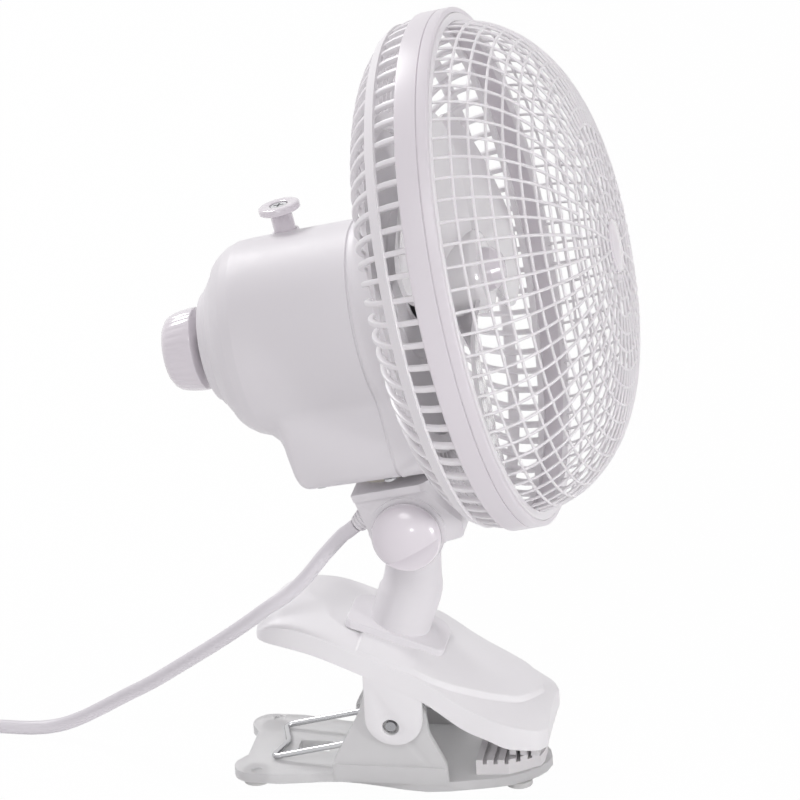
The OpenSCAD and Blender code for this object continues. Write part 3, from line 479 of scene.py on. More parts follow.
white = moulded("white_plastic", (0.80, 0.785, 0.803), (0.775, 0.76, 0.78), (0.40, 0.50), 0.012)
# The clip's plastic is the white plastic made lighter: painted light, lifting the clip's tone where the head
# shades it
clip_plastic_painted_light = moulded("clip_plastic_painted_light", (0.86, 0.855, 0.862), (0.84, 0.835, 0.843), (0.40, 0.50), 0.012)
# The guard band's plastic is the guard wires' white plastic made darker and lilac: painted shade
guard_plastic_painted_shade = moulded("guard_plastic_painted_shade", (0.81, 0.775, 0.81), (0.785, 0.755, 0.785), (0.28, 0.4), 0.01)
wire_plastic = moulded("wire_plastic", (0.88, 0.865, 0.88), (0.86, 0.845, 0.86), (0.3, 0.42), 0.008)
knob_plastic = moulded("knob_plastic", (0.80, 0.762, 0.80), (0.78, 0.742, 0.78), (0.12, 0.2), 0.004, coat=0.4)
blade_plastic = moulded("blade_plastic", (0.86, 0.85, 0.86), (0.83, 0.82, 0.83), (0.1, 0.2), 0.006, coat=0.5)
plate_plastic = moulded(
    "plate_plastic", (0.88, 0.88, 0.88), (0.86, 0.86, 0.86), (0.34, 0.42), 0.01, clear=0.35)
grip_rubber = moulded("grip_rubber", (0.80, 0.785, 0.79), (0.74, 0.73, 0.735), (0.55, 0.7), 0.03, 1500.0)
foot_rubber = moulded("foot_rubber", (0.66, 0.66, 0.65), (0.58, 0.58, 0.57), (0.55, 0.7), 0.03, 1500.0)
nylon = moulded("nylon", (0.80, 0.77, 0.68), (0.74, 0.71, 0.62), (0.4, 0.5), 0.01)
dark_plastic = moulded("dark_plastic", (0.03, 0.03, 0.033), (0.022, 0.022, 0.025), (0.4, 0.55), 0.015)
tie_band = moulded("tie_band", (0.16, 0.16, 0.17), (0.12, 0.12, 0.13), (0.5, 0.65), 0.03, 1200.0)
cord_sheath = moulded("cord_sheath", (0.74, 0.72, 0.75), (0.70, 0.68, 0.71), (0.38, 0.48), 0.01, 1800.0)
coil_wire = moulded("coil_wire", (0.72, 0.70, 0.64), (0.62, 0.60, 0.54), (0.5, 0.65), 0.05, 900.0)
chrome_wire = drawn_metal(
    "chrome_wire", (0.60, 0.60, 0.61), (0.50, 0.50, 0.52), (0.1, 0.2), 0.004, (30, 8, 30))
# The pivot pin's steel is the steel made darker: painted shade for the deep hole the pin sits in
pin_steel_painted_shade = drawn_metal(
    "pin_steel_painted_shade", (0.42, 0.42, 0.43), (0.30, 0.30, 0.32), (0.2, 0.3), 0.006, (3, 40, 40))
steel = drawn_metal("steel", (0.60, 0.60, 0.61), (0.50, 0.50, 0.52), (0.25, 0.4), 0.01, (40.0, 40.0, 3.0))
bronze = drawn_metal("bronze", (0.55, 0.36, 0.17), (0.45, 0.29, 0.14), (0.35, 0.5), 0.01, (20.0, 20.0, 20.0))
laminations = drawn_metal(
    "laminations", (0.22, 0.22, 0.23), (0.12, 0.12, 0.13), (0.4, 0.55), 0.12, (40, 1, 1), 45)

# Camera and light
SKY_LIGHT = 0.41
SKY_TINT = (1.0, 0.945, 1.0, 1)
FLOOR_WHITE = 0.98
FLOOR_GREY = (0.92, 0.92, 0.92, 1)
FLOOR_HALF = 4.0
LAMP_EDGE = 0.8


def place_camera():
    el, az, roll = (radians(v) for v in (CAMERA_ELEVATION, CAMERA_AZIMUTH, CAMERA_ROLL))
    back = Vector((sin(az) * cos(el), -cos(az) * cos(el), sin(el)))
    side = unit((-back).cross(Vector((0, 0, 1))))
    rise = side.cross(-back)
    right = side * cos(roll) + rise * sin(roll)
    up = rise * cos(roll) - side * sin(roll)
    data = bpy.data.cameras.new("camera")
    data.sensor_width = SENSOR
    data.lens = CAMERA_LENS
    camera = link("camera", data)
    camera.matrix_world = Matrix((right, up, back)).transposed().to_4x4()
    camera.location = (Vector(CAMERA_FOCUS) + back * CAMERA_DISTANCE) * MM
    scene.camera = camera


def seen_mask(tree):
    """One for camera, mirror and glass rays, which see the white background."""
    rays = tree.nodes.new("ShaderNodeLightPath").outputs
    total = rays["Is Camera Ray"]
    for ray in ("Is Glossy Ray", "Is Transmission Ray"):
        total = add_node(tree, "ShaderNodeMath", {0: total, 1: rays[ray]}, operation="MAXIMUM").outputs[0]
    return total


def choose_shader(tree, share, plain, seen, output):
    """Send a plain shader out, with a share of the one that is seen."""
    choose = add_node(tree, "ShaderNodeMixShader", {0: share, 1: plain.outputs[0], 2: seen.outputs[0]})
    tree.links.new(choose.outputs[0], tree.nodes[output].inputs["Surface"])


def light_world():
    world = bpy.data.worlds.new("studio")
    world.use_nodes = True
    scene.world = world
    tree = world.node_tree
    sky = tree.nodes["Background"]
    set_inputs(tree, sky, {"Color": SKY_TINT, "Strength": SKY_LIGHT})
    seen = add_node(tree, "ShaderNodeBackground", {"Color": (1, 1, 1, 1), "Strength": 1.0})
    choose_shader(tree, seen_mask(tree), sky, seen, "World Output")


def lay_floor():
    material, shader, tree = new_material("studio_floor")
    set_inputs(tree, shader, {"Base Color": FLOOR_GREY, "Roughness": 0.9, "Specular IOR Level": 0.0})
    glow = add_node(tree, "ShaderNodeEmission", {"Strength": 1.0})
    share = add_node(tree, "ShaderNodeMath", {0: seen_mask(tree), 1: FLOOR_WHITE}, operation="MULTIPLY")
    choose_shader(tree, share.outputs[0], shader, glow, "Material Output")
    mesh = bpy.data.meshes.new("floor")
    corners = [(x * FLOOR_HALF, y * FLOOR_HALF, 0) for x, y in ((-1, -1), (1, -1), (1, 1), (-1, 1))]
    mesh.from_pydata(corners, [], [(0, 1, 2, 3)])
    mesh.materials.append(material)
    link("floor", mesh)


def add_lamp(name, place, aim, size, power, cone=None):
    """A round lamp with a soft edge; a cone, in degrees, keeps its light near its aim."""
    data = bpy.data.lights.new(name, "SPOT" if cone else "AREA")
    data.energy = power
    if cone:
        data.shadow_soft_size = size / 2
        data.spot_size = radians(cone)
        data.spot_blend = LAMP_EDGE
    else:
        data.shape = "DISK"
        data.size = size
    lamp = link(name, data)
    lamp.location = place
    lamp.rotation_euler = (Vector(aim) - Vector(place)).to_track_quat("-Z", "Y").to_euler()


scene.view_settings.view_transform = "Standard"
place_camera()
light_world()
lay_floor()
add_lamp("high_front", (-0.15, -1.2, 1.4), (-0.02, 0, 0.1), 0.9, 7)
add_lamp("high_rear", (-1.0, 0.9, 1.3), (-0.03, 0, 0.07), 0.6, 13)
add_lamp("low_front", (0.2, -1.7, 0.15), (0.0, 0, 0.0), 0.4, 22, 9)
add_lamp("guard_fill", (1.3, -0.6, 0.35), (0.05, 0, 0.21), 0.6, 150, 13)

# Cord: the same route and coil as the solids, one tube from the gland to the plug
CORD_D = 5.3
CORD_ROUTE = [
    (-16.5, -13.5, 104), (-19.5, -13.5, 101.5), (-22, -13.5, 99.5), (-29, -13.5, 91.5), (-35.7, -15.3, 83.3),
    (-42.3, -17.2, 77), (-50, -18.5, 71.8), (-60, -16.5, 63.3), (-71.8, -12.6, 53.5), (-85.6, -6.8, 42.2),
    (-100.5, 0, 30), (-112, 4, 22), (-123.5, 7.5, 14), (-133, 9.2, 8.2), (-142, 10, 4.4), (-152, 10, 2.8),
    (-165, 10, 2.75), (-180, 10, 2.85), (-195, 10, 3.2), (-208, 10, 3.4)]
COIL_AT = (-214.0, -30.7)
COIL_R = 40.7
COIL_TURNS = 3
COIL_PITCH = CORD_D + 0.6
COIL_TUCK = 0.7
COIL_LEAD = 6.0
COIL_Z = CORD_D / 2 + 0.75
RINGS_A_TURN = 24


def coil_point(i):
    """Place i along the coil: in on the table, up a layer in half a turn, then out on top."""
    half = COIL_TURNS * RINGS_A_TURN
    climb = RINGS_A_TURN / 2
    k = min(i, half, 2 * half + climb - i)
    a = pi / 2 + 2 * pi * i / RINGS_A_TURN
    lift = clamp((i - half) / climb)
    r = COIL_R - COIL_PITCH * k / RINGS_A_TURN - COIL_TUCK * sin(pi * lift)
    z = COIL_Z + COIL_PITCH * step_up(lift)
    return Vector((COIL_AT[0] + r * cos(a), COIL_AT[1] + r * sin(a), z))


def make_cord():
    coil_end = 2 * COIL_TURNS * RINGS_A_TURN + RINGS_A_TURN // 2
    coil = [coil_point(i / 2) for i in range(2 * coil_end + 1)]
    plug_end = coil[-1] + Vector((COIL_LEAD, 0, 0))
    path = smooth_line(CORD_ROUTE, 5) + coil + [plug_end]
    loops = tube_loops(path, CORD_D / 2, 16)
    cord = add_piece("power_cord_sheath", loops, table_frame, cord_sheath)
    line = [p * MM for p in path]
    length = sum((b - a).length for a, b in zip(line, line[1:]))
    return cord, line, length


cord, cord_line, cord_length = make_cord()
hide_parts("power_cord", "cord_coil")
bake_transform(cord)

# Guard: band, rear ribs and front wires, in the fan frame
GUARD_R = 93.0
BAND_W = 11.6
BAND_LIP = 3.6
BAND_ROUND = 0.7
RING_T = 2.0
RIM_R = GUARD_R - RING_T - 0.15
MOUTH_N = -34.3
MOUTH_R = 59.3
RIB_COUNT = 72
DISH_DEPTH = 22.5
HOOP_ANGLES = (20, 30)
HOOP_DEPTHS = (1.6, 2.8)
DOME_DEPTH = 43.3
DOME_DEEP = 1.16
DOME_WIDE = 0.62
WIRE_R = 0.55
WIRE_SHARP = 60.0
BADGE_R = 10.0
DOME_END = degrees(acos((BADGE_R / (RIM_R - 3)) ** (1 / DOME_WIDE)))
RING_COUNT = 15
BADGE_RING = RING_COUNT + 0.5
# Ring at which each wire of a group ends: the first goes on to the badge
WIRE_ENDS = (BADGE_RING, 10, 13, 10)


def make_band():
    r = BAND_ROUND
    outline = [(-BAND_W, GUARD_R - RING_T), (-BAND_W, GUARD_R - r)]
    outline += arc(-BAND_W + r, GUARD_R - r, r, 180, 90, 4)
    outline += [(-BAND_LIP - 0.5, GUARD_R), (-BAND_LIP - 0.25, GUARD_R - 0.45), (-BAND_LIP, GUARD_R)]
    outline += arc(-r, GUARD_R - r, r, 90, 0, 4)
    outline += [(0, GUARD_R - RING_T)]
    return turned("guard_band", outline, fan_frame, guard_plastic_painted_shade, 180, True)


def guard_hoop(name, outline, sharp=SHARP):
    return turned(name, outline, fan_frame, wire_plastic, 144, True, sharp)


def dish(a):
    """Point (place, radius) of the rear guard's outer curve, from the band at 0 to the mouth at 90."""
    s, c = sin(radians(a)), cos(radians(a))
    return Vector((-BAND_W + 1.0 - DISH_DEPTH * s, mix(MOUTH_R + 2, RIM_R - 1, c)))


def sweep_section(line, section):
    """Loops of a section in (across, deep), along a line of (place, radius) points in the XZ plane."""
    loops = []
    for i, p in enumerate(line):
        t = unit(line[min(i + 1, len(line) - 1)] - line[max(i - 1, 0)])
        deep = Vector((t.y, -t.x))
        loops.append([(p.x + d * deep.x, w, p.y + d * deep.y) for w, d in section(i / (len(line) - 1))])
    return loops


def rib_section(t):
    """A rib's box with round corners, narrower towards the mouth."""
    half, high, r = mix(1.0, 0.75, t), 2.0, 0.35
    corners = [(half - r, high - r, 0), (-half + r, high - r, 90), (-half + r, r, 180), (half - r, r, 270)]
    return [p for x, y, start in corners for p in arc(x, y, r, start, start + 90, 2)]


def make_rear_guard():
    line = [Vector((-BAND_W + 1.6, RIM_R - 0.6))] + [dish(a) for a in range(6, 91, 6)]
    line.append(Vector((MOUTH_N + 2, MOUTH_R - 3)))
    loops = sweep_section(line, rib_section)
    ribs = ring_of("rear_ribs", loops, RIB_COUNT, fan_frame, wire_plastic)
    back, front = -BAND_W + 0.1, -BAND_W + 2.2
    rim = guard_hoop("rear_rim", [(back, RIM_R), (back, RIM_R - 2.4), (front, RIM_R - 2.4), (front, RIM_R)])
    start, end = (dish(a) for a in HOOP_ANGLES)
    step = unit(end - start)
    over, under = (Vector((step.y, -step.x)) * d for d in HOOP_DEPTHS)
    strip = [start + over, end + over, end + under, start + under]
    hoop = guard_hoop("rear_hoop", [tuple(p) for p in strip])
    root = [(0.1, -4), (0.1, 1.2), (0.8, 2.2), (2.4, 2.2), (2.4, -4)]
    flange = guard_hoop("rear_root", [(MOUTH_N + n, MOUTH_R + r) for n, r in root])
    return join("rear_guard_ribs", [ribs, rim, hoop, flange])


def dome(a):
    """Point (place, radius) of the front guard's dome, from the rim at 0 degrees."""
    s, c = sin(radians(a)), cos(radians(a))
    return Vector((0.4 + (DOME_DEPTH - 2.4) * s**DOME_DEEP, (RIM_R - 3) * c**DOME_WIDE))


def wire_round(x, y):
    return arc(x, y, WIRE_R, 0, 315, 7)


def make_front_guard():
    steps = 60
    fine = [dome(DOME_END * i / steps) for i in range(steps + 1)]
    reach = [0.0]
    for a, b in zip(fine, fine[1:]):
        reach.append(reach[-1] + (b - a).length)

    def dome_at(share):
        """A point at a share of the wire's length from the rim to the badge."""
        k = next(i for i in range(1, steps + 1) if reach[i] >= share * reach[-1] - 1e-9)
        return mix(fine[k - 1], fine[k], (share * reach[-1] - reach[k - 1]) / (reach[k] - reach[k - 1]))

    parts = []
    count = RIB_COUNT // len(WIRE_ENDS)
    for k, end_ring in enumerate(WIRE_ENDS):
        end = end_ring / BADGE_RING
        line = [Vector((-0.6, RIM_R - 1.2))] + [dome_at(end * i / 28) for i in range(29)]
        loops = sweep_section(line, lambda t: wire_round(0, WIRE_R))
        spun = fan_frame @ Matrix.Rotation(2 * pi * k / RIB_COUNT, 4, "X")
        parts.append(ring_of(f"front_wires_{k}", loops, count, spun, wire_plastic, WIRE_SHARP))
    for k in range(1, RING_COUNT + 1):
        at = dome_at(k / BADGE_RING)
        parts.append(guard_hoop(f"front_ring_{k}", wire_round(at.x - 0.7, at.y - 0.5), WIRE_SHARP))
    rim = [(-1.9, RIM_R), (-1.9, RIM_R - 2.6), (0.4, RIM_R - 2.9), (0.5, RIM_R - 0.4), (0.1, RIM_R)]
    parts.append(guard_hoop("front_rim", rim))
    return join("front_guard_wires", parts)


def make_badge():
    at = dome(DOME_END).x
    edge = [(-2, -0.3), (-1.6, -0.1), (-0.2, -0.2), (0.3, -0.8)]
    outline = [(at - 2.0, 0)] + [(at + n, BADGE_R + r) for n, r in edge]
    crown = [k / 8 for k in range(8, -1, -1)]
    outline += [(at + 0.3 + 1.1 * (1 - t**2), (BADGE_R - 1.4) * t) for t in crown]
    return turned("front_badge", outline, fan_frame, knob_plastic, 96)


mount(make_band(), "head", "guard_ring")
mount(make_rear_guard(), "head", "rear_guard")
mount(make_front_guard(), "head", "front_guard")
mount(make_badge(), "head", "guard_badge")

# Housing: loops round the housing's axis, a circle above joined softly to a square belly below
SEAM_N = -49.2
HOUSING_R = 36.0
BELLY_HALF = 29.0
BELLY_END = -94.5
BELLY_LOW = [(BELLY_END, 25), (-92.5, 28.4), (-90.5, 31.6), (-88.9, 35.2), (-87.9, 39.5), (-87.55, 44),
             (-87.2, 48.5), (-86.2, 51.4), (-84.2, 52.7), (-80, 53), (SEAM_N, 53.9)]
BELLY_WIDE = [(BELLY_END, 24), (-88.5, 26.4), (-87, 27.9), (-84.5, 28.8), (-81, BELLY_HALF),
              (SEAM_N, BELLY_HALF)]
BELLY_SQUARE = 9.0
BELLY_SOFT = 2.5
SEAM_LOW = 54.1
MOUTH_LOW = 54.7
SHELL = [(-90, 36), (-94, 35.7), (-98, 34.3), (-101, 32.3), (-102.8, 30.6), (-102.9, 29.5),
         (-105, 26.9), (-106.3, 25), (-106.4, 23.2), (-108.5, 22.5), (-108.6, 20.8), (-111, 20),
         (-111.0, 5.2)]
SHELL_INSIDE = [(-108.8, 5.2), (-108.8, 17.6), (-104.2, 20.4), (-100, 29), (-95, 32.6), (-91.5, 33.8)]
WALL = 2.2
ANGLES = 216
SWING_N = -60.0
POST_R = 6.05
STEM_R = 4.12
SCREW_Y = 22
SCREW_PLACES = ((-79, -62.3), (-54, -64.1))
BOLT_R = 3.05
FLUTES = 30
FLUTE_DEPTH = 0.15
stem_frame = moved(fan_frame, (-77.2, 12.0, 0)) @ to_up


def soft_max(a, b, k):
    """The larger of two values, with a soft step where they are close."""
    h = max(k - abs(a - b), 0) / k
    return max(a, b) + h * h * k / 4


def with_belly(r, a, half, low):
    """A radius at an angle, made larger where the belly reaches out beyond it."""
    c, s = abs(cos(a)), abs(sin(a))
    ray = ((c / half) ** BELLY_SQUARE + (s / low) ** BELLY_SQUARE) ** (-1 / BELLY_SQUARE)
    return soft_max(r, ray, BELLY_SOFT)


def belly_at(n):
    """Half the belly's width at a place, and how far its floor lies below the housing's axis."""
    return along(BELLY_WIDE, n), along(BELLY_LOW, n)


def housing_loop(n, radius, half, low, inset=0.0):
    loop = []
    for a in whole_turn(ANGLES):
        r = radius
        if sin(a) < 0 and low > radius * 0.5:
            r = with_belly(radius, a, half, low)
        r -= inset
        loop.append((n, r * cos(a), r * sin(a)))
    return loop


def make_rear_housing():
    loops = []
    places = [SEAM_N, SEAM_N - 0.5, SEAM_N - 0.9] + [SEAM_N - 0.9 - 2.5 * k for k in range(1, 13)]
    places += [-81.5 - 0.5 * k for k in range(17)]
    for n in places:
        groove = 0.6 if n > SEAM_N - 0.7 else 0.0
        loops.append(housing_loop(n, HOUSING_R, *belly_at(n), groove))
    for n, r in rounded(SHELL, 0.5, 3)[1:]:
        belly = belly_at(n) if n > BELLY_END else (0.0, 0.0)
        loops.append(housing_loop(n, r, *belly))
    loops += [housing_loop(n, r, 0.0, 0.0) for n, r in SHELL_INSIDE]
    for n in [-89.0 + 0.5 * k for k in range(16)] + [-80.0, -70.0, -60.0, SEAM_N]:
        loops.append(housing_loop(n, HOUSING_R, *belly_at(n - WALL), WALL))
    shell = add_piece("rear_shell", loops, housing_frame, white, closed=True)
    swing = moved(fan_frame, (SWING_N, 0, 0)) @ to_up
    cutters = [peg("post_hole", -90, -50, POST_R, swing, white),
               peg("stem_hole", 0, 40, STEM_R, stem_frame, white)]
    for side in (-1, 1):
        for n, floor in SCREW_PLACES:
            at = moved(fan_frame, (n, side * SCREW_Y, floor)) @ to_up
            cutters.append(peg("screw_recess", -2, 1, 3.0, at, white, 32))
    cut(shell, cutters)
    shade(shell.data)
    boss = rounded([(-67, POST_R), (-67, 9), (-63.4, 9), (-63.4, POST_R)], 0.5)
    ring = turned("boss_ring", boss, swing, white, 64, True)
    collar = rounded([(21.5, STEM_R), (21.5, 5.4), (24.2, 4.9), (24.2, STEM_R)], 0.3)
    lip = turned("stem_collar", collar, stem_frame, white, 64, True)
    return join("rear_housing_shell", [shell, ring, lip])


def front_ray(a, t):
    """The front housing's radius at an angle, from the seam at 0 to the mouth at 1."""
    s, c = sin(a), cos(a)
    seam = HOUSING_R
    mouth = AXIS_DROP * s + sqrt(MOUTH_R**2 - (AXIS_DROP * c) ** 2)
    if s < 0:
        seam = with_belly(seam, a, BELLY_HALF, SEAM_LOW)
        mouth = with_belly(mouth, a, BELLY_HALF, MOUTH_LOW)
    return mix(seam, mouth, t**2.2)


def make_front_housing():
    def ring(t, inset):
        n = mix(SEAM_N, MOUTH_N, t)
        rays = [(a, front_ray(a, t) - inset) for a in whole_turn(ANGLES)]
        return [(n, r * cos(a), r * sin(a)) for a, r in rays]

    steps = 16
    loops = [ring(0.0, 0.25), ring(0.02, -0.15), ring(0.06, -0.2), ring(0.1, -0.1)]
    loops += [ring(i / steps, 0) for i in range(2, steps)]
    loops += [ring(0.985, 0.0), ring(1.0, 0.5)]
    loops += [ring(i / steps, WALL) for i in range(steps, -1, -2)]
    shell = add_piece("front_shell", loops, housing_frame, white, closed=True)
    rim = [(-1, 13), (-1, MOUTH_R - 3.4), (0, MOUTH_R - 1.8), (0, 28), (-0.4, 27.6), (-0.4, 27),
           (0, 26.6), (0, 14.2), (0.8, 13.8), (0.8, 13)]
    outline = [(MOUTH_N + n, r) for n, r in rim]
    plate = turned("mouth_plate", outline, fan_frame, white, 96, True)
    return join("front_housing_shell", [shell, plate])


def make_speed_knob():
    def flutes(x, r, a):
        inside = clamp((x + 126.6) / 1.6) * clamp((-115.9 - x) / 1.2)
        return r - FLUTE_DEPTH * inside * (0.5 - 0.5 * cos(FLUTES * a)) ** 2

    outline = [(-121.2, 0), (-121.2, 3.05), (-115.2, 3.05), (-115.2, 14.6), (-115.6, 15.2), (-116.4, 15.3),
               (-118.5, 15.15), (-121, 14.8), (-123.5, 14.3), (-125, 13.8), (-126.3, 12.9), (-127.3, 11.6),
               (-127.9, 9.8), (-128.2, 7.5), (-128.4, 4), (-128.4, 0)]
    return turned("speed_knob_cap", outline, housing_frame, knob_plastic, 360, shape=flutes)


def make_oscillation_knob():
    outline = [(28, 0), (28, 1.5), (22, 1.5), (22, 4), (30.6, 4), (31, 4.2), (31.3, 5), (31.5, 6.6),
               (31.7, 7.2), (32, 7.6), (33.4, 7.6), (33.9, 7.45), (34.2, 7), (34.3, 6.4), (34.3, 3.8),
               (34.1, 3.4), (32.3, 3.4), (32.3, 0)]
    return turned("oscillation_knob_cap", outline, stem_frame, knob_plastic, 96, sharp=50.0)


def make_tilt_knob():
    at = moved(tilt_frame, (0, -20.4, 0)) @ to_near
    r, deep, skirt = 12.8, 9.0, 2.5
    outline = [(5, 0), (5, 3), (0, 3), (0, r - 1), (0.4, r - 0.3), (1, r)]
    for k in range(0, 91, 6):
        a = radians(k)
        outline.append((skirt + (deep - skirt) * sin(a), r * cos(a)))
    knob = turned("tilt_knob_dome", outline, at, knob_plastic, 96)
    slant = at @ Matrix.Rotation(radians(17), 4, "X")
    cut(knob, [block("step", (4.6, -14, -31), (12, 14, -4.8), slant, knob_plastic)])
    return soften(knob, 0.5, 3, 35.0, 40.0)


mount(make_rear_housing(), "head", "rear_housing")
mount(make_front_housing(), "head", "front_housing")
mount(make_speed_knob(), "speed_knob", "speed_knob")
mount(make_oscillation_knob(), "oscillation_knob", "oscillation_knob")
mount(make_tilt_knob(), "tilt_knob", "tilt_knob")


# Bracket: two cheeks under a bridge, trimmed to clear the swinging guard
def make_bracket():
    corner = rounded([(13, -5.9), (20.3, -4.6), (21, 18.2)], 2)[1:]
    edge = [(-16.8, 18.2)] + arc(0, 0, 13.5, 195, 335, 20) + corner
    body = slab("bracket_body", edge, -20, 20, tilt_frame, white)
    room = [(-20, 0), (-20, 33), (0.5, 33), (5.4, 29.6), (10.4, 27.2), (16, 24.8), (18.2, 24.8), (18.2, 0)]
    swing = moved(tilt_frame, (RING_AHEAD + SWING_N, 0, 0)) @ to_up
    cut(body, [turned("under_guard", room, swing, white, 96)], "INTERSECT")
    gap = [(-40, -40), (40, -40), (40, 6), (14, 13), (-14, 13), (-40, 6)]
    cut(body, [slab("knuckle_room", gap, -7.3, 7.3, tilt_frame, white),
               peg("bolt_hole", -25, 25, BOLT_R, tilt_frame @ to_far, white)])
    near = tilt_frame @ to_near
    step = [(19.1, 14.2), (19.1, 45), (22, 45), (22, 14.2)]
    setback = turned("setback", step, near, white, 96, True)
    cut(setback, [block("flange", (-60, -60, 15.3), (60, 60, 60), tilt_frame, white)])
    cut(body, [setback])
    soften(body, 0.5, 3, 40.0)
    seat = rounded([(20, BOLT_R), (20, 11.5), (20.3, 11.2), (20.3, BOLT_R)], 0.1)
    ring = turned("knob_seat", seat, near, white, 72, True)
    return join("swivel_bracket_body", [body, ring])


# Neck: a leaning tube on a collar, bent upright, with a knuckle for the bolt
NECK_FOOT = (-5.3, 0, 56.2)
NECK_LEAN = radians(18)
NECK_SIDES = 72
# Place in X and Z, lean in degrees and radius
NECK_STATIONS = [
    (-6.6, 52.2, 18, 11.5), (-4, 60.2, 18, 11.5), (-1.6, 67.6, 18, 11.5), (-0.3, 71.6, 16, 11.6),
    (0.5, 74, 8, 11.5), (0.9, 76, 2, 11.2), (1.2, 79, 2, 10.6), (2, 87, 4, 9.9),
    (3.0, 96.5, 6, 9.2)]
# Corners of the collar: middle in X and Y, radius and first angle
COLLAR_CORNERS = ((9, 3, 10, 0), (-11, 5, 8, 90), (-16, -10, 3, 180), (16, -10, 3, 270))
COLLAR_LEVELS = [(0.8, 0), (3.2, 0), (3.7, 0.3), (3.9, 0.9)]


def make_neck():
    loops = []
    far = Vector((0, 1, 0))
    for x, z, lean, r in NECK_STATIONS:
        tip = radians(lean)
        e = Vector((cos(tip), 0, -sin(tip)))
        middle = Vector((x, 0, z))
        loops.append([middle + r * (cos(p) * e + sin(p) * far) for p in whole_turn(NECK_SIDES)])
    tube = add_piece("neck_tube", loops, table_frame, white)
    knuckle = rounded([(-7, BOLT_R), (-7, 12), (7, 12), (7, BOLT_R)], 0.8)
    tilt = moved(table_frame, TILT_AXIS) @ to_far
    barrel = turned("neck_knuckle", knuckle, tilt, white, 96, True)
    foot = moved(table_frame, NECK_FOOT) @ Matrix.Rotation(NECK_LEAN, 4, "Y")
    outline = [p for x, y, r, start in COLLAR_CORNERS for p in arc(x, y, r, start, start + 90, 8)]
    loops = [[(x - copysign(d, x), y - copysign(d, y), z) for x, y in outline]
             for z, d in COLLAR_LEVELS]
    collar = add_piece("neck_collar", loops, foot, white)
    peg_outline = [(-6, 0), (-6, 5.6), (-5.6, 6), (2, 6), (2, 0)]
    stub = turned("neck_stub", peg_outline, foot @ to_up, white, 48)
    return join("neck_stem", [tube, barrel, collar, stub])


# Upper jaw: skirts with a hard edge line under a shallow crown, in curves along X
JAW_HALF = 28.0
JAW_SIDE = [(-56.5, 0.40), (-55.5, 0.55), (-53.5, 0.66), (-50, 0.76), (-45, 0.84), (-38, 0.91), (-28, 0.97),
            (-15, 1), (25, 1), (38, 0.95), (47, 0.82), (50, 0.74), (52, 0.6)]
JAW_LOW = [(-56.5, 58.2), (-45, 58.6), (-31, 56.5), (-12, 49.4), (8, 40.4), (22, 30.3), (32, 25.4),
           (38, 22.2), (52, 19)]
JAW_EDGE = [(-56.5, 60), (-50, 64.2), (-45, 65.6), (-38, 65.6), (-28, 63.4), (-4, 53.6), (7, 49.2),
            (25, 37.2), (38, 31.2), (52, 25.8)]
JAW_TOP = [(-56.5, 60.8), (-55.5, 63.4), (-53.5, 66), (-50, 68.2), (-45, 69.5), (-25, 64.8), (11, 53),
           (37, 41.2), (47, 36), (50, 34), (52, 31)]
JAW_HOLLOW = [(-56.5, 0.1), (-54, 0.5), (-50, 1), (46, 1), (49, 0.5), (52, 0.1)]
JAW_WALL = 2.4
JAW_LEAN = 0.9
JAW_SHARP = 20.0
TONGUE = [(-2, 27.5), (6, 27), (14, 25), (24, 21.5), (34, 18), (42, 13.5), (47.5, 5), (49, 0.1)]
TONGUE_H = 1.9
TONGUE_STEP = 1.1
SADDLE = (-17.0, 5.0)
SADDLE_H = 0.9
SADDLE_STEP = 1.2
EAR_T = 2.5
PIVOT = (-4.5, 29.5)
pivot_frame = moved(table_frame, (PIVOT[0], 0, PIVOT[1])) @ to_far


def jaw_raise(x, y):
    """The tongue on the nose and the saddle band under the collar, above the plain crown."""
    tongue = TONGUE_H * step_up((along(TONGUE, x) - abs(y)) / TONGUE_STEP) * step_up((x + 2) / 8)
    saddle = SADDLE_H * step_up((x - SADDLE[0]) / SADDLE_STEP) * step_up((SADDLE[1] - x) / SADDLE_STEP)
    return max(tongue, saddle)


def jaw_section(x, inset=0.0):
    """One arch of the jaw at x, from its near skirt over the crown to the far one."""
    w = JAW_HALF * along(JAW_SIDE, x) - inset
    low = along(JAW_LOW, x)
    edge = max(along(JAW_EDGE, x), low + 0.6)
    top = max(along(JAW_TOP, x) - TONGUE_H, edge + 0.3)
    wall = w - JAW_LEAN
    inner = wall - 0.6
    half = [(w, low), (w - JAW_LEAN * 0.5, mix(low, edge, 0.5)), (wall, edge - 0.35),
            (wall - 0.15, edge - 0.05), (inner, edge + 0.12)]
    foot = min(max(along(TONGUE, x), TONGUE_STEP + 0.2), inner - 1)
    head = foot - TONGUE_STEP
    across = [mix(inner, foot, k / 12) for k in range(1, 13)]
    across += [mix(foot, head, k / 6) for k in range(1, 7)]
    across += [mix(head, 0, k / 22) for k in range(1, 23)]
    for y in across:
        z = edge + 0.12 + (top - edge - 0.12) * (1 - (y / inner) ** 2.2)
        half.append((y, z + jaw_raise(x, y) * step_up((inner - y) / 1.5)))
    if inset:
        hollow = along(JAW_HOLLOW, x)
        half = [(y, low + max(z - inset - low, 0.3) * hollow if i else low) for i, (y, z) in enumerate(half)]
    near = [(x, -y, z) for y, z in half]
    far = [(x, y, z) for y, z in half[-2::-1]]
    return near + far


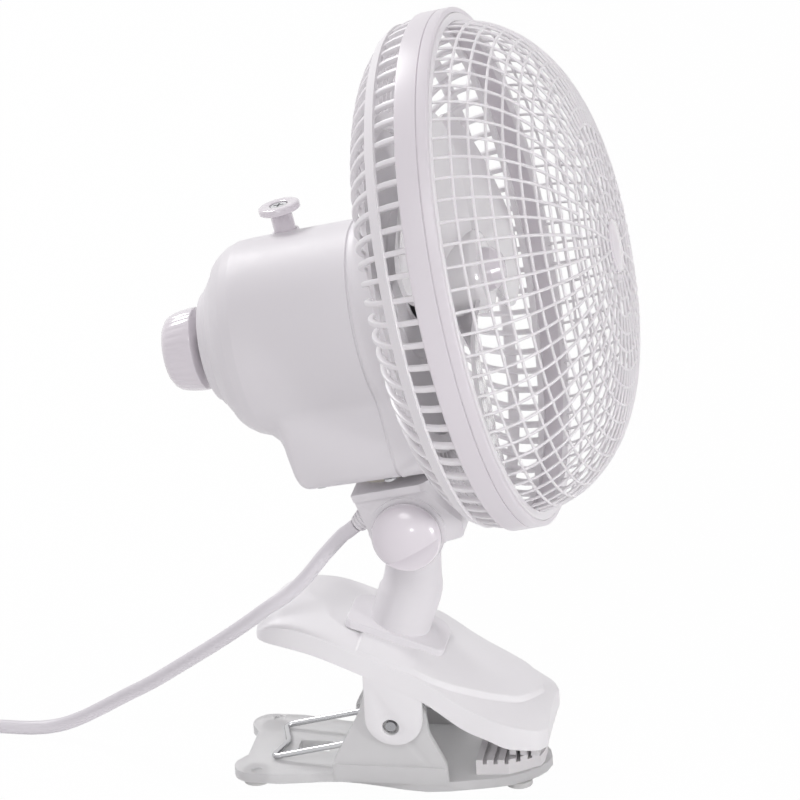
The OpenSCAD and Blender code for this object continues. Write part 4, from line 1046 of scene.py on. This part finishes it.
def make_upper_jaw():
    places = [-56.4, -56.0, -55.2, -54, -52, -50, -47.5, -45] + [-42 + 2 * k for k in range(12)]
    places += [-18, -17.2, -16.6, -15.8, -14, -11, -8, -5, -2, 1, 3.4, 4.2, 4.8, 5.6]
    places += [7 + 1.5 * k for k in range(27)] + [47, 48, 49, 50, 50.8, 51.4, 51.8, 52]
    loops = [jaw_section(x) + jaw_section(x, JAW_WALL)[::-1] for x in places]
    parts = [add_piece("jaw_shell", loops, table_frame, clip_plastic_painted_light)]
    parts[0].data.set_sharp_from_angle(angle=radians(JAW_SHARP))
    x, z, r = PIVOT[0] + 1.2, PIVOT[1] + 3.6, 10.8
    edge = [(x + r, z + 8.6), (x - r, z + 18)] + arc(x, z, r, 180, 360, 32)
    for low in (-JAW_HALF, JAW_HALF - EAR_T):
        ear = slab("jaw_ear", edge, low, low + EAR_T, table_frame, clip_plastic_painted_light)
        cut(ear, [peg("pin_hole", -40, 40, 3.1, pivot_frame, clip_plastic_painted_light)])
        parts.append(soften(ear, 0.5, 2, 40.0))
    return join("upper_jaw_shell", parts)


# Lower jaw: a lobed plate with a slot and dimples, and two ears inside the upper jaw's ears
PLATE_HALF = [
    (-48, 24.5), (-40, 23), (-32, 21.4), (-25, 20.6), (-18, 21.2), (-10, 22.6), (0, 24.6), (8, 25.4),
    (16, 24.2), (24, 22), (32, 19.6), (38, 17.2), (43, 13.8), (47.4, 9.4), (50, 5.2), (51.2, 0)]
PLATE_EAR = [(-27.5, 5), (-27.5, 12.5), (-17, 33), (-14.5, 42), (-11, 45.4), (-4, 45.6), (8, 36.5),
             (9.2, 26), (15.6, 13.5), (16, 5)]
EAR_FOOT = [(-27, 5), (-27, 11.2), (-26, 12.2), (14.6, 12.2), (15.6, 11.2), (15.6, 5)]


def make_lower_jaw():
    outline = [(-63, 0), (-63, 9.4)] + arc(-59, 16.9, 7.5, 200, 90, 12) + PLATE_HALF
    ring = outline + [(x, -y) for x, y in outline[-2:0:-1]]
    loops = [[(x, y, z) for x, y in ring] for z in (2, 6)]
    plate = add_piece("jaw_plate", loops, table_frame, plate_plastic, None)
    cutters = [block("tail_slot", (-45, -4, 0), (-33, 4, 8), table_frame, plate_plastic)]
    for side in (-1, 1):
        at = moved(table_frame, (-57.2, side * 21.2, 0)) @ to_up
        cutters.append(peg("dimple", 5.2, 8, 2.0, at, plate_plastic, 24))
    cut(plate, cutters)
    parts = [soften(plate, 0.8, 3, 50.0)]
    for low, step in ((-25.2, -25.55), (22.6, 21.6)):
        ear = slab("plate_ear", rounded(PLATE_EAR, 2.0), low, low + 2.6, table_frame, plate_plastic)
        cut(ear, [peg("pin_hole", -40, 40, 1.9, pivot_frame, plate_plastic)])
        foot = slab("ear_foot", EAR_FOOT, step, step + 3.95, table_frame, plate_plastic)
        parts += [soften(piece, 0.4, 2, 40.0) for piece in (ear, foot)]
    return join("lower_jaw_plate", parts)


mount(make_bracket(), "bracket", "swivel_bracket")
mount(make_neck(), "stand", "neck")
mount(make_upper_jaw(), "stand", "upper_jaw")
mount(make_lower_jaw(), "lower_jaw", "lower_jaw")

# Spring: one wire from under the crown round a coil, along an arm, across the tail and back
WIRE_D = 2.2
WIRE_PITCH = WIRE_D + 0.5
SPRING_R = 10.0
SPRING_Y = 13.0
SPRING_TAIL = (-52.7, 7.3)
SPRING_END = (-36.0, 61.5)


def polar(place):
    """How far a place in X and Z lies from the pivot, and at which angle."""
    x, z = place[0] - PIVOT[0], place[1] - PIVOT[1]
    return hypot(x, z), atan2(z, x)


def make_spring():
    reach, tail_angle = polar(SPRING_TAIL)
    first = tail_angle + pi - asin(SPRING_R / reach) - pi / 2
    far, end_angle = polar(SPRING_END)
    last = end_angle - acos(SPRING_R / far) + 4 * pi
    z = 6 + WIRE_D / 2 + 0.2
    corner = [(-49.3, 0, z), (-51.1, 7.2, z), (-52.1, 10.4, z), (-52.3, 11.7, z), (-51.7, 12.6, z + 0.1),
              (-50.3, 13.0, z + 0.5)]
    steps = 96
    turns = (last - first) / (2 * pi)
    coil = []
    for i in range(steps + 1):
        t = i / steps
        a = mix(first, last, t)
        y = SPRING_Y + WIRE_PITCH * t * turns
        coil.append((PIVOT[0] + SPRING_R * cos(a), y, PIVOT[1] + SPRING_R * sin(a)))

    def straight(start, end, y, shares):
        return [(mix(start[0], end[0], t), y, mix(start[-1], end[-1], t)) for t in shares]

    arm = straight(corner[-1], coil[0], SPRING_Y, (0.2, 0.4, 0.6, 0.8))
    lift = straight(coil[-1], SPRING_END, coil[-1][1], (0.25, 0.5, 0.75, 1.0))
    half = [Vector(p) for p in corner + arm + coil + lift]
    path = [Vector((p.x, -p.y, p.z)) for p in reversed(half)] + half[1:]
    loops = tube_loops(path, WIRE_D / 2, 12, (0.6, 0.2, 0.77))
    return add_piece("clip_spring_wire", loops, table_frame, chrome_wire)


spring = make_spring()
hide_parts("torsion_spring")
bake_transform(spring)

# Fan: three wide swept blades on a hub
BLADES = 3
BLADE_ROOT = 14.0
BLADE_TIP = 74.0
BLADE_WIDE = 92
BLADE_SWEEP = 14
BLADE_T = 1.6
HUB = [(-8, 0), (-8, 3), (-27, 3), (-27, 14.2), (-26, 15), (-8, 15), (-6, 13.4), (-6, 0)]


def blade_point(t, w, front):
    """A point of a blade: t along it, w across it, on its rear face at 0 or its front face at 1."""
    r = mix(BLADE_ROOT, BLADE_TIP, t)
    wide = BLADE_WIDE * (0.62 + 0.38 * sin(pi * min(t + 0.1, 1)))
    corner = (max(t - 0.8, 0) / 0.2) ** 2 * 0.14
    w = mix(corner, 1 - corner, w)
    a = radians(BLADE_SWEEP * t + (w - 0.5) * wide)
    n = mix(-22.5, -9.5, 1 - w) + front * BLADE_T + 1.2 * sin(pi * w)
    return (n, r * cos(a), r * sin(a))


def make_fan():
    shares = [i / 16 for i in range(17)]
    loops = []
    for t in shares:
        rear = [blade_point(t, w, 0) for w in shares]
        loops.append(rear + [blade_point(t, w, 1) for w in reversed(shares)])
    blades = ring_of("blades", loops, BLADES, fan_frame, blade_plastic)
    hub = turned("hub", rounded(HUB, 0.8), fan_frame, blade_plastic, 96)
    return join("fan_blades", [blades, hub])


mount(make_fan(), "rotor", "fan_blade")

# Cord ends: a ribbed gland at the bracket and a two-pin plug
GLAND_AT = (-14.7, -13.5, 7)
GLAND_TURN = radians(180 - 31)
GLAND_R = 4.1
PLUG_SIDES = 48
# Place along the plug, half its width and half its height
PLUG_STATIONS = [
    (0, 3.4, 3.4), (1.4, 3.9, 3.9), (1.8, 3.4, 3.4), (2.8, 4.2, 4.2), (3.2, 3.7, 3.7), (4.4, 4.6, 4.6),
    (4.8, 4.1, 4.1), (6.2, 5.2, 5), (8, 6.4, 5.6), (11, 9.4, 7.2), (15, 12, 8.6), (20, 13.2, 9),
    (27, 13.4, 9.05), (33, 13.3, 9.05), (35.2, 12.9, 8.7), (36, 12.2, 8)]


def make_gland():
    at = moved(tilt_frame, GLAND_AT) @ Matrix.Rotation(GLAND_TURN, 4, "Y")
    outline = [(-15, 0), (-15, GLAND_R), (0.2, GLAND_R)]
    for k in range(3):
        x = 0.6 + 1.4 * k
        r = GLAND_R - 0.3 * k
        outline += [(x, r - 0.5), (x + 0.3, r - 0.55), (x + 0.45, r - 0.1), (x + 1.1, r - 0.2)]
    outline += [(5, 3.0), (5, 0)]
    return turned("gland_sleeve", outline, at, white, 48)


def signed_power(v, power):
    return copysign(abs(v) ** power, v)


def make_plug():
    loops = []
    for x, w, h in PLUG_STATIONS:
        power = 2 / mix(2.0, 3.6, clamp((x - 8) / 8))
        loops.append([(x, w * signed_power(cos(a), power), h * signed_power(sin(a), power))
                      for a in whole_turn(PLUG_SIDES)])
    return add_piece("plug_shell", loops, moved(table_frame, cord_line[-1] / MM), white)


mount(make_gland(), "bracket", "cord_gland")
plug = mount(make_plug(), "stand", "plug_body")

# Pieces kept from the solids, by the finish that each is given
KEPT = {
    grip_rubber: ["upper_grip_pad", "lower_grip_pad"],
    foot_rubber: ["rubber_feet"],
    pin_steel_painted_shade: ["pivot_pin"],
    steel: ["neck_screw", "tilt_nut", "pivot_post", "swing_lever", "lever_screw", "tilt_bolt",
            "housing_screws", "motor_front_bracket", "motor_rear_bracket", "motor_screws", "gear_bracket",
            "gear_plate", "crank_axle", "motor_shaft", "worm", "knob_screw", "clutch_shaft", "switch_shaft",
            "plug_pins"],
    laminations: ["stator_core", "rotor_core"],
    coil_wire: ["field_coil"],
    bronze: ["bearing_bushes"],
    nylon: ["thrust_washer", "worm_wheel", "clutch_pinion", "crank_gear"],
    dark_plastic: ["switch_body"],
    tie_band: ["cord_tie"],
    knob_plastic: ["blade_cap"],
}
for finish, names in KEPT.items():
    for name in names:
        nodes[name].data.materials.clear()
        nodes[name].data.materials.append(finish)
